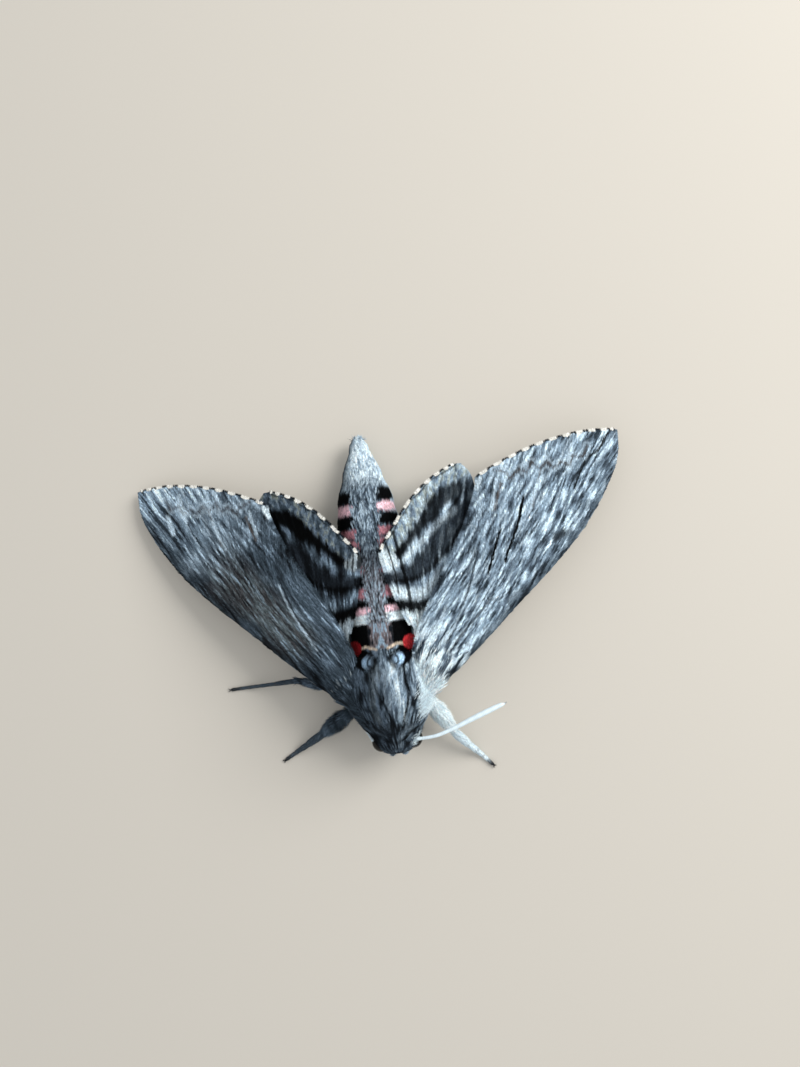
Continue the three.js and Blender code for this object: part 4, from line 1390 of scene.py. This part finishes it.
def edge_way(places, t):
    """Unit direction straight out of a wing's hind edge, in plan."""
    run = spline(places, np.minimum(t + 0.002, 1)) - spline(places, np.maximum(t - 0.002, 0))
    return unit(np.column_stack((-run[:, 1], run[:, 0])))


def scallop(t, corner, checks):
    """The fringe is a little deeper between the veins than at their ends."""
    outer = rise(t, corner - 0.02, corner)
    return 1 - 0.28 * outer * np.cos(2 * math.pi * outer_edge_place(t, corner, checks))


def membrane_edge(wing, t):
    """The hind edge of the membrane, inside the fringe."""
    depth = FRINGE * scallop(t, wing["corner"], wing["checks"]) * np.minimum(1, t * 12)
    return spline(wing["hind"], t) - edge_way(wing["hind"], t) * depth[:, None]


def membrane_plan(wing, t, s):
    """The place in the plan at share t along the wing and share s across it."""
    front = spline(wing["front"], t)
    return front + (membrane_edge(wing, t) - front) * s[:, None]


def vein_relief(plan, veins):
    """How high the veins stand over the membrane."""
    height = np.zeros(len(plan))
    for places in veins:
        ridge = VEIN_HEIGHT * np.exp(-(off_line(plan, places) / VEIN_HALF_WIDTH) ** 2)
        height = np.maximum(height, ridge)
    return height


# %% [markdown]
# Both kinds of wing are made by the same steps from here on. What differs is kept in one
# table: the outlines, the pose, the way that strokes run, the painters and the unwrap.

# %% The two kinds of wing


def forewing_way(side, ways):
    """Directions in the plan of the forewing become directions on the posed wing."""
    turned = np.column_stack((-ways[:, 1], ways[:, 0], np.zeros(len(ways)))) @ forewing_turn(side).T
    turned[:, 0] *= side
    return turned


def hindwing_way(side, ways):
    """The same for the hindwing, which slopes down outwards."""
    return np.column_stack((side * ways[:, 0], ways[:, 1], -0.2 * ways[:, 0]))


def forewing_stroke(plan):
    """Which way the strokes and scales run."""
    angle = forewing_flow(plan)
    return np.column_stack((np.cos(angle), np.sin(angle)))


def hindwing_stroke(plan):
    return unit(plan - HINDWING_ROOT)


def flat_arch(t, s):
    return np.zeros(len(t))


WINGS = {
    "forewing": {
        "front": FOREWING_FRONT, "hind": FOREWING_HIND, "corner": FOREWING_CORNER,
        "checks": FOREWING_CHECKS, "veins": FOREWING_VEINS, "pose": pose_forewing,
        "way": forewing_way, "stroke": forewing_stroke, "arch": forewing_arch,
        "top": forewing_tint, "under": forewing_under_tint, "grid": (220, 60),
        "low": (-1.0, -5.5), "span": (54.5, 20.5), "slot": "forewing_scales", "root": (1.0, 2.0)},
    "hindwing": {
        "front": HINDWING_FRONT, "hind": HINDWING_HIND, "corner": HINDWING_CORNER,
        "checks": HINDWING_CHECKS, "veins": HINDWING_VEINS, "pose": pose_hindwing,
        "way": hindwing_way, "stroke": hindwing_stroke, "arch": flat_arch,
        "top": hindwing_tint, "under": hindwing_under_tint, "grid": (130, 60),
        "low": (0.0, 13.0), "span": (19.0, 33.0), "slot": "hindwing_scales", "root": (6.5, 15.0)},
}
SIDES = {"left": 1, "right": -1}
print("kinds of wing:", list(WINGS))

# %% [markdown]
# Each membrane starts as a flat grid. Its corners are moved to the plan, raised into veins
# and shallow pleats, and posed, and a Solidify modifier gives it its thinness. A flat sheet
# without thickness would be lighter, but would not be closed.

# %% Wing membranes
PLEAT = 0.10
MEMBRANE_SHADE = 0.9


def keep_plan(piece, plan, t, s):
    """Stores each corner's place in the plan, so that it is still known after modifiers."""
    for name, values in (("plan_along", plan[:, 0]), ("plan_across", plan[:, 1]), ("rib", t), ("chord", s)):
        kept = piece.data.attributes.new(name, "FLOAT", "POINT")
        kept.data.foreach_set("value", values.astype(np.float32))


def plan_of(piece):
    """Plan, rib share and chord share of each corner."""
    read = []
    for name in ("plan_along", "plan_across", "rib", "chord"):
        values = np.empty(len(piece.data.vertices), dtype=np.float32)
        piece.data.attributes[name].data.foreach_get("value", values)
        read.append(values.astype(float))
    return np.column_stack(read[:2]), read[2], read[3]


def make_membrane(kind, label):
    """The thin, veined, painted skin of one wing, in place of its solid."""
    wing = WINGS[kind]
    side = SIDES[label]
    piece, t, s = flat_grid(f"{kind}_{label}_membrane", *wing["grid"])
    t = np.clip(t, 0, 1)
    s = np.clip(s, 0, 1)
    plan = membrane_plan(wing, t, s)
    pleats = PLEAT * (drift(plan[:, 0] / 7, plan[:, 1] / 1.4, 81) - 0.5)
    lift = wing["arch"](t, s) + vein_relief(plan, wing["veins"]) + pleats
    move_corners(piece, wing["pose"](side, plan, lift))
    keep_plan(piece, plan, t, s)
    if side < 0:
        bpy.ops.object.mode_set(mode="EDIT")
        bpy.ops.mesh.flip_normals()
        bpy.ops.object.mode_set(mode="OBJECT")
    wall = piece.modifiers.new("membrane", "SOLIDIFY")
    wall.thickness = MEMBRANE * MM
    wall.offset = 0.0
    apply_modifiers(piece)
    bpy.ops.object.shade_smooth_by_angle(angle=math.radians(50))
    plan, t, s = plan_of(piece)
    above = (corner_normals(piece)[:, 2] > 0)[:, None]
    tint = np.where(above, wing["top"](plan, t, s, side), wing["under"](plan, t, s, side))
    set_tint(piece, tint * MEMBRANE_SHADE)
    finish_piece(piece, WING_SCALES, wing["slot"], f"{kind}_{label}")
    print(piece.name, "corners", len(piece.data.vertices))
    return piece


membranes = {(kind, label): make_membrane(kind, label) for kind in WINGS for label in SIDES}

# %% [markdown]
# Scales overlap on the membrane like tiles, each lying along the flow, and near the root
# they grow long like hair. The upper side carries the markings and the denser coat. A scale
# that would stand out over the edge is made shorter until it lies inside.

# %% Scales of the wings
SHORTENINGS = 6
SHORTER = 0.72


def inside_membrane(wing, plan):
    """Whether places of the plan lie on the membrane, by counting its outline to one side."""
    rim = np.linspace(0, 1, 90)
    outline = np.vstack((spline(wing["front"], rim), membrane_edge(wing, rim)[::-1]))
    inside = np.zeros(len(plan), dtype=bool)
    for a, b in zip(outline, np.roll(outline, -1, axis=0)):
        crossed = (a[1] > plan[:, 1]) != (b[1] > plan[:, 1])
        climb = b[1] - a[1] if abs(b[1] - a[1]) > 1e-9 else 1.0
        inside ^= crossed & (plan[:, 0] < a[0] + (plan[:, 1] - a[1]) * (b[0] - a[0]) / climb)
    return inside


def level_normals(wing, side, stroke):
    """Straight up from the wing's plan, for scales at its rim, where the membrane turns over."""
    turned = stroke[:, ::-1] * (-1, 1)
    normals = unit(np.cross(wing["way"](side, stroke), wing["way"](side, turned)))
    return normals * np.sign(normals[:, 2:3])


def wing_coat(kind, label, face, count, seed, length, width, lift):
    """The scales of one side of one wing. face is top or under."""
    wing = WINGS[kind]
    side = SIDES[label]
    piece = membranes[kind, label]
    up = 1 if face == "top" else -1
    roots, normals, chosen, weights = scatter(
        piece, count, lambda centres, facing: (facing[:, 2] * up > 0.3) * 1.0, seed)
    plan, t, s = plan_of(piece)
    plan = (plan[chosen] * weights[..., None]).sum(1)
    t = (t[chosen] * weights).sum(1)
    s = (s[chosen] * weights).sum(1)
    stroke = wing["stroke"](plan)
    level = level_normals(wing, side, stroke) * up
    normals = np.where((t < 0.02)[:, None], level, normals)
    rng = np.random.default_rng(seed + 50)
    from_root = np.linalg.norm(plan - wing["root"], axis=1)
    long = length * rng.uniform(0.7, 1.3, count) * (1 + 1.1 * fade(from_root, 3.0, 9.0))
    for _ in range(SHORTENINGS):
        past = ~inside_membrane(wing, plan + stroke * long[:, None])
        long[past] *= SHORTER
    tint = painted_along(SCALE, plan, stroke, long, lambda places: wing[face](places, t, s, side))
    lie = wing["way"](side, stroke) + rng.normal(0, 0.09, (count, 3))
    spots = (plan - np.array(wing["low"])) / np.array(wing["span"])
    lay_coat(f"{kind}_{label}_{face}_scales", SCALE, roots, normals, lie, long,
             width * rng.uniform(0.8, 1.2, count), lift * rng.uniform(0.4, 1.6, count),
             vary(tint, seed, 0.2), spots, arch=0.03, material=WING_SCALES, slot=wing["slot"])


# %% [markdown]
# The fringe stands straight out of the hind edge, and between the vein ends its scales are
# cream, which makes the edge look chequered. The table below then dresses all four wings.

# %% Fringes, and the coats of all wings
FRINGE_ROOT = 0.12
WING_COATS = [
    # wing, side of it, scales, first seed, length, width, lift
    ("forewing", "top", 17200, 101, 0.9, 0.15, 0.09),
    ("forewing", "under", 3000, 111, 1.2, 0.28, 0.05),
    ("hindwing", "top", 9600, 121, 0.8, 0.15, 0.09),
    ("hindwing", "under", 2000, 131, 1.1, 0.28, 0.05),
]


def wing_fringe(kind, label, count, seed):
    """Hairs out of the hind edge, layered through the membrane's thickness."""
    wing = WINGS[kind]
    side = SIDES[label]
    rng = np.random.default_rng(seed)
    t = np.sort(rng.uniform(0.12, 1.0, count))
    edge = membrane_edge(wing, t)
    out_way = edge_way(wing["hind"], t)
    layer = rng.uniform(-0.5, 0.5, count) * MEMBRANE
    roots = wing["pose"](side, edge - out_way * FRINGE_ROOT, wing["arch"](t, np.ones(count)) + layer)
    lie = wing["way"](side, out_way) + rng.normal(0, 0.10, (count, 3))
    normals = level_normals(wing, side, wing["stroke"](edge))
    outer = rise(t, wing["corner"] - 0.01, wing["corner"])
    check = outer_edge_place(t, wing["corner"], wing["checks"]) % 1
    pale = close_to(check, 0.5, 0.22, 0.32)
    tint = dab(wing["top"](edge, t, np.ones(count), side), outer, ramp(pale, SOOT, CREAM * 1.1))
    tint = painted_whole(HAIR, tint)
    depth = FRINGE * scallop(t, wing["corner"], wing["checks"]) + FRINGE_ROOT
    spots = (edge - np.array(wing["low"])) / np.array(wing["span"])
    lay_coat(f"{kind}_{label}_fringe", HAIR, roots, normals, lie, depth * rng.uniform(0.85, 1.1, count),
             0.12, 0.0, vary(tint, seed, 0.12), spots, arch=0.0, material=WING_SCALES, slot=wing["slot"])


for number, label in enumerate(SIDES):
    for kind, face, count, seed, *blade_sizes in WING_COATS:
        wing_coat(kind, label, face, count, seed + number, *blade_sizes)
    wing_fringe("forewing", label, 2600, 141 + number)
    wing_fringe("hindwing", label, 2100, 151 + number)

# %% [markdown]
# Long soft tufts grow from the chest over the root of each forewing, and a second, steeper one on each side
# hides the hinge. A short one stands at the root of the left feeler and reaches down over the eye. On the
# left they are white, and on the right they are painted slate and black, as painted shade. They take their
# roots from the skin.

# %% Tufts of the shoulders and cheeks


def tuft(name, side, count, seed, middle, half, height, way, lengths, lift):
    """A tuft rooted about one distance back and one way round the body, lying one way."""

    def weight(centres, facing):
        along_body = close_to(centres[:, 1], middle, half * 0.6, half)
        around_body = close_to(way_round(centres), height, 0.05, 0.13)
        return along_body * around_body * (centres[:, 0] * side > 0) * clear_of_eyes(centres)

    roots, normals = scatter(skin, count, weight, seed)[:2]
    rng = np.random.default_rng(seed + 50)
    lie = np.array(way) * (side, 1, 1) + rng.normal(0, 0.2, (count, 3))
    strand = drift(roots[:, 1] * 2.6, roots[:, 2] * 1.2, seed)
    # The right-hand tufts are painted dark, as painted shade.
    colours = (WHITE * 0.85, WHITE) if side > 0 else (BLACK, SOOT, SLATE, SLATE)
    tint = ramp(strand, *colours)
    tint = vary(painted_whole(HAIR, tint), seed, 0.1)
    lay_coat(name, HAIR, roots, normals, lie, rng.uniform(*lengths, count), 0.12,
             lift * rng.uniform(0.3, 1.6, count), tint, trunk_spots(roots), arch=0.06)


TUFTS = [
    # place, hairs, seed, middle and half length along the body, way round, lie, lengths, lift
    ("shoulder", 2100, 161, 9.8, 5.2, 0.34, (0.8, 1.0, -0.1), (1.3, 2.5), 0.14),
    ("hinge", 380, 166, 7.8, 1.7, 0.33, (1.0, 0.6, 0.2), (1.2, 2.2), 0.35),
]
for label, side in SIDES.items():
    for name, count, seed, *settings in TUFTS:
        tuft(f"tuft_{name}_{label}", side, count, seed + side, *settings)

tuft("tuft_cheek_left", 1, 300, 171, 2.2, 1.0, 0.31, (0.9, 0.25, -0.5), (0.6, 1.1), 0.14)

# %% [markdown]
# Feelers, feet, claws, spurs and tongue are all tapering tubes. Each is a flat grid rolled up
# round a smooth path, with its radius drawn in to nothing at both ends so that it closes. The
# seam is then merged away. A bevelled curve could do the same, but gives less say over how
# the thickness changes.

# %% Rolling up a tube
SEAM = 0.002


def even_path(path, t):
    """Points at even distances along a smooth path through the places."""
    fine = np.linspace(0, 1, 400)
    line = spline(path, fine)
    walked = np.concatenate(([0], np.cumsum(np.linalg.norm(np.diff(line, axis=0), axis=1))))
    return spline(path, np.interp(t * walked[-1], walked, fine))


def roll_tube(name, path, radius, steps, sides):
    """A closed tube in moth millimetres. radius gives its half thickness along the path."""
    piece, t, turn = flat_grid(name, steps, sides)
    t = np.clip(t, 0, 1)
    turn = turn * 2 * math.pi
    centre = even_path(path, t)
    ahead = unit(even_path(path, np.minimum(t + 0.01, 1)) - even_path(path, np.maximum(t - 0.01, 0)))
    aside = unit(np.cross(ahead, (0.05, 0.03, 1.0)))
    above = np.cross(aside, ahead)
    closing = np.sqrt(np.clip(np.minimum(t, 1 - t) * steps / 2, 0, 1))
    thick = (radius(t) * closing)[:, None]
    points = centre + thick * (np.cos(turn)[:, None] * aside + np.sin(turn)[:, None] * above)
    points[:, 2] = np.maximum(points[:, 2], BLADE_GAP)
    move_corners(piece, points)
    bpy.ops.object.mode_set(mode="EDIT")
    bpy.ops.mesh.select_all(action="SELECT")
    bpy.ops.mesh.remove_doubles(threshold=SEAM * MM)
    bpy.ops.mesh.normals_make_consistent(inside=False)
    bpy.ops.object.mode_set(mode="OBJECT")
    bpy.ops.object.shade_smooth()
    return piece


def share_along(piece, path):
    """How far along the path each corner of a tube lies, and how high over its middle."""
    t = np.linspace(0, 1, 300)
    line = even_path(path, t)
    points = corners(piece)
    nearest = np.array([np.argmin(((line - point) ** 2).sum(1)) for point in points])
    return t[nearest], points[:, 2] - line[nearest, 2]


def tinted_horn(name, roughness, coat):
    """Horn or scaled shaft coloured by the tint, a little glossy."""
    material, shader = new_material(name, {"Roughness": roughness, "Coat Weight": coat})
    tint = material.node_tree.nodes.new("ShaderNodeAttribute")
    tint.attribute_name = "tint"
    material.node_tree.links.new(tint.outputs["Color"], shader.inputs["Base Color"])
    return material


SHAFT = tinted_horn("feeler_shaft", roughness=0.6, coat=0.0)
HORN = tinted_horn("foot_horn", roughness=0.4, coat=0.1)
BROWN_HORN = tinted_horn("tongue_horn", roughness=0.3, coat=0.3)

# %% [markdown]
# The left feeler stands out to the side and the right one is tucked behind the eye and under
# the wing. Each is white with scales above, brown and finely ringed below, stoutest towards
# its end, and drawn to a small hook.

# %% Feelers
FEELERS = {
    "left": [(3.3, 2.3, 7.4), (3.6, 2.25, 7.5), (6.4, 2.4, 7.65), (9.4, 3.2, 7.5), (11.9, 4.05, 7.3),
             (14.6, 4.9, 7.0), (16.6, 5.5, 6.7), (17.7, 5.75, 6.5), (17.95, 6.0, 6.45)],
    "right": [(-3.6, 2.8, 7.3), (-4.3, 3.8, 5.9), (-5.2, 5.2, 4.9), (-6.3, 7.7, 5.0),
              (-6.95, 10.4, 5.1), (-7.5, 14.4, 5.3), (-7.7, 16.2, 5.2), (-7.6, 16.45, 5.3)],
}
FEELER_RINGS = 62


def feeler_radius(t):
    """Stoutest towards the end, with a ring for each segment and a thin hook."""
    body = 0.26 + 0.18 * np.sin(math.pi * np.clip(0.05 + 0.95 * t, 0, 1) ** 2.4)
    hook = np.interp(t, (0, 0.93, 0.97, 1), (1, 1, 0.45, 0.15))
    return body * hook * (0.94 + 0.09 * np.abs(np.sin(math.pi * FEELER_RINGS * t)))


for label, path in FEELERS.items():
    piece = roll_tube(f"feeler_{label}", path, feeler_radius, steps=4 * FEELER_RINGS, sides=12)
    t, height = share_along(piece, path)
    below = fade(height, -0.22, 0.0)
    ringed = 0.7 + 0.3 * np.abs(np.sin(math.pi * FEELER_RINGS * t))
    colour = dab(plain(WHITE, len(t)), below * 0.8, UMBER) * ringed[:, None]
    colour = dab(colour, rise(t, 0.95, 0.985) * 0.7, UMBER)
    # The right feeler, tucked under the wing, is painted darker, as painted shade.
    set_tint(piece, colour if label == "left" else colour * 0.7)
    finish_piece(piece, SHAFT, "antenna", f"antenna_{label}")
    print(piece.name, "corners", len(t))

# %% [markdown]
# A compound eye is a ball of many tiny lenses. Cutting every corner off a fine ball of
# triangles turns it into a net of six-sided lenses. A bump pattern would do from afar, but
# real lenses still hold when the eye is seen close up.

# %% Compound eyes
LENS_CUT = 0.032
EYE_GLOSS = new_material("dark_eye", {
    "Base Color": (0.003, 0.0025, 0.0025, 1), "Roughness": 0.25, "Specular IOR Level": 0.16})[0]

for label, side in SIDES.items():
    place = in_frame(EYE_PLACE * (side, 1, 1))
    bpy.ops.object.select_all(action="DESELECT")
    bpy.ops.mesh.primitive_ico_sphere_add(subdivisions=5, radius=EYE_RADIUS * MM, location=place)
    piece = bpy.context.object
    piece.name = f"eye_ball_{label}"
    bpy.ops.object.transform_apply(location=True)
    bpy.ops.object.mode_set(mode="EDIT")
    bpy.ops.mesh.select_all(action="SELECT")
    bpy.ops.mesh.bevel(offset=LENS_CUT * MM, affect="VERTICES")
    bpy.ops.object.mode_set(mode="OBJECT")
    finish_piece(piece, EYE_GLOSS, "eye", f"eye_{label}")
    print(piece.name, "lenses and rims", len(piece.data.polygons))

# %% [markdown]
# Each foot comes down from the ankle and lies flat at its end. It has five segments, each
# wider at its far end, so its radius swells and drops five times along one smooth path.

# %% The shape of a foot
FOOT_FLAT = 2.6
FEET = {
    # leg: whiteness, none on the right legs as painted shade, half thickness
    "foreleg_left": (1.0, 0.72), "foreleg_right": (0.0, 0.62),
    "midleg_left": (0.5, 0.36), "midleg_right": (0.0, 0.36),
    "hindleg_left": (0.4, 0.36), "hindleg_right": (0.0, 0.36),
}
SEGMENT_ENDS = np.array((0.0, 0.36, 0.58, 0.75, 0.88, 1.0))


def foot_path(leg):
    """The path of a foot from inside the shin to its tip, and its direction."""
    knee, ankle, tip = leg_joints(leg)[1:]
    run = (tip - ankle) / np.linalg.norm(tip - ankle)
    start = ankle + (knee - ankle) / np.linalg.norm(knee - ankle) * 0.8
    heel = tip - run * FOOT_FLAT
    heel[2] = 0.32
    middle = (ankle + heel) / 2 + (0, 0, 0.25)
    end = np.array((tip[0], tip[1], 0.24))
    return [start, ankle + run * 0.1, middle, heel, end], run


def foot_radius(t, stout):
    """Half thickness along the foot."""
    within = (t - SEGMENT_ENDS[np.clip(np.searchsorted(SEGMENT_ENDS, t) - 1, 0, 4)]) / 0.2
    slim = np.interp(t, (0, 0.1, 0.45, 1), (stout * 0.8, stout, stout * 0.72, 0.25))
    return slim * (0.86 + 0.16 * np.clip(within, 0, 1))


# %% [markdown]
# A foot ends in two small curved claws, and the middle and hind shins carry a pair of spurs
# at the ankle. They are joined to the foot as one piece.

# %% Feet with claws and spurs


def thorn(name, path, thickness, taper, colour):
    """A claw or a spur: a short tube that thins towards its point."""
    piece = roll_tube(name, path, lambda t: thickness * (1 - taper * t), steps=12, sides=8)
    set_tint(piece, plain(colour, len(piece.data.vertices)))
    return piece


def make_foot(leg):
    """One foot in place of its solid."""
    path, run = foot_path(leg)
    lit_whiteness, stout = FEET[leg]
    foot = roll_tube(f"{leg}_tarsus", path, lambda t: foot_radius(t, stout), steps=60, sides=12)
    t = share_along(foot, path)[0]
    joint = np.abs(t[:, None] - SEGMENT_ENDS[1:]).min(1)
    # The feet on the left are painted white and those on the right slate, as painted shade.
    colour = dab(plain(SLATE * 0.9, len(t)), lit_whiteness, WHITE)
    colour = dab(colour, fade(joint, 0.012, 0.03) * 0.7, UMBER)
    set_tint(foot, dab(colour, rise(t, 0.80, 0.93), SOOT))
    parts = [foot]
    aside = np.array((-run[1], run[0], 0.0))
    ankle = leg_joints(leg)[2]
    tip = path[-1]
    for way in (-1, 1):
        claw_path = [tip - run * 0.15, tip + run * 0.12 + aside * way * 0.14 + (0, 0, 0.10),
                     tip + run * 0.30 + aside * way * 0.26 + (0, 0, 0.02),
                     tip + run * 0.36 + aside * way * 0.30 - (0, 0, 0.16)]
        parts.append(thorn("claw", claw_path, 0.085, 0.75, BLACK))
        if not leg.startswith("foreleg"):
            spur_path = [ankle - run * 0.3, ankle + run * 0.35 + aside * way * 0.45 - (0, 0, 0.25),
                         ankle + run * 1.1 + aside * way * 0.75 - (0, 0, 0.55)]
            parts.append(thorn("spur", spur_path, 0.13, 0.8, UMBER))
    only(*parts)
    bpy.ops.object.join()
    finish_piece(foot, HORN, "foot", f"{leg}_foot")
    print(foot.name, "corners", len(foot.data.vertices))
    return foot


# %% [markdown]
# Feet wear a thin coat of scales too, which leaves the tip dark. The roots stay on the shaft,
# so that claws and spurs are bare.

# %% Scales of the feet
FOOT_SCALES = 850


def foot_coat(leg, number, foot):
    """The scales of one foot."""
    path, run = foot_path(leg)
    lit_whiteness, stout = FEET[leg]

    def on_shaft(centres, facing):
        line = even_path(path, np.linspace(0.02, 0.95, 40))
        away = np.min([np.linalg.norm(centres - place, axis=1) for place in line], axis=0)
        return (away < stout + 0.12) * 1.0

    roots, normals = scatter(foot, FOOT_SCALES, on_shaft, 171 + number)[:2]
    rng = np.random.default_rng(221 + number)
    t = np.clip(((roots - path[0]) @ run) / ((path[-1] - path[0]) @ run), 0, 1)
    # As on the foot, the scales are painted white on the left only; the right ones stay slate, as painted
    # shade.
    lit_white = lit_whiteness * rng.uniform(0.7, 1.1, FOOT_SCALES)
    colour = dab(plain(SLATE * 0.9, FOOT_SCALES), lit_white, WHITE)
    colour = dab(colour, rise(t, 0.78, 0.95), SOOT)
    spots = np.column_stack((0.02 + 0.96 * t, 0.5 + 0.4 * normals[:, 2]))
    lie = run + rng.normal(0, 0.12, (FOOT_SCALES, 3))
    length = rng.uniform(0.3, 0.5, FOOT_SCALES) * (1.7 - t)
    tint = vary(painted_whole(HAIR, colour), number, 0.2)
    lay_coat(f"{leg}_tarsus_scales", HAIR, roots, normals, lie, length, 0.10,
             0.16 * rng.uniform(0.5, 2.0, FOOT_SCALES), tint, spots,
             arch=0.08, material=LEG_FUR, slot="foot")


for number, leg in enumerate(LEG_NAMES):
    foot_coat(leg, number, make_foot(leg))

# %% [markdown]
# The tongue is rolled up like a watch spring under the face. Its path winds inwards, and the
# tube thins towards its end in the middle of the roll.

# %% Tongue
TONGUE_PLACE = np.array((0.0, 1.75, 1.75))
TONGUE_TURNS = 2.6
winding = np.linspace(0, 1, 40)
angle = -0.5 * math.pi + winding * TONGUE_TURNS * 2 * math.pi
coil = 1.05 - 0.85 * winding
tongue_path = TONGUE_PLACE + np.column_stack((0 * coil, coil * np.cos(angle), coil * np.sin(angle)))
tongue = roll_tube("rolled_tongue", tongue_path, lambda t: 0.19 - 0.09 * t, steps=240, sides=10)
t = share_along(tongue, tongue_path)[0]
set_tint(tongue, ramp(np.abs(np.sin(t * 260)), UMBER * 0.6, UMBER * 1.3))
finish_piece(tongue, BROWN_HORN, "tongue", "tongue")
print("tongue corners", len(tongue.data.vertices))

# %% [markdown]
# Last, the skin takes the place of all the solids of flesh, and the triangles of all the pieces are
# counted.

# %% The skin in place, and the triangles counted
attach(skin, "root")
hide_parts(*FLESH)
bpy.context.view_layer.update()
triangles = {piece.name: len(piece.data.loop_triangles) or len(piece.data.polygons)
             for piece in bpy.data.objects if piece.type == "MESH"}
print("triangles in all:", sum(triangles.values()), "most in one piece:", max(triangles.values()))
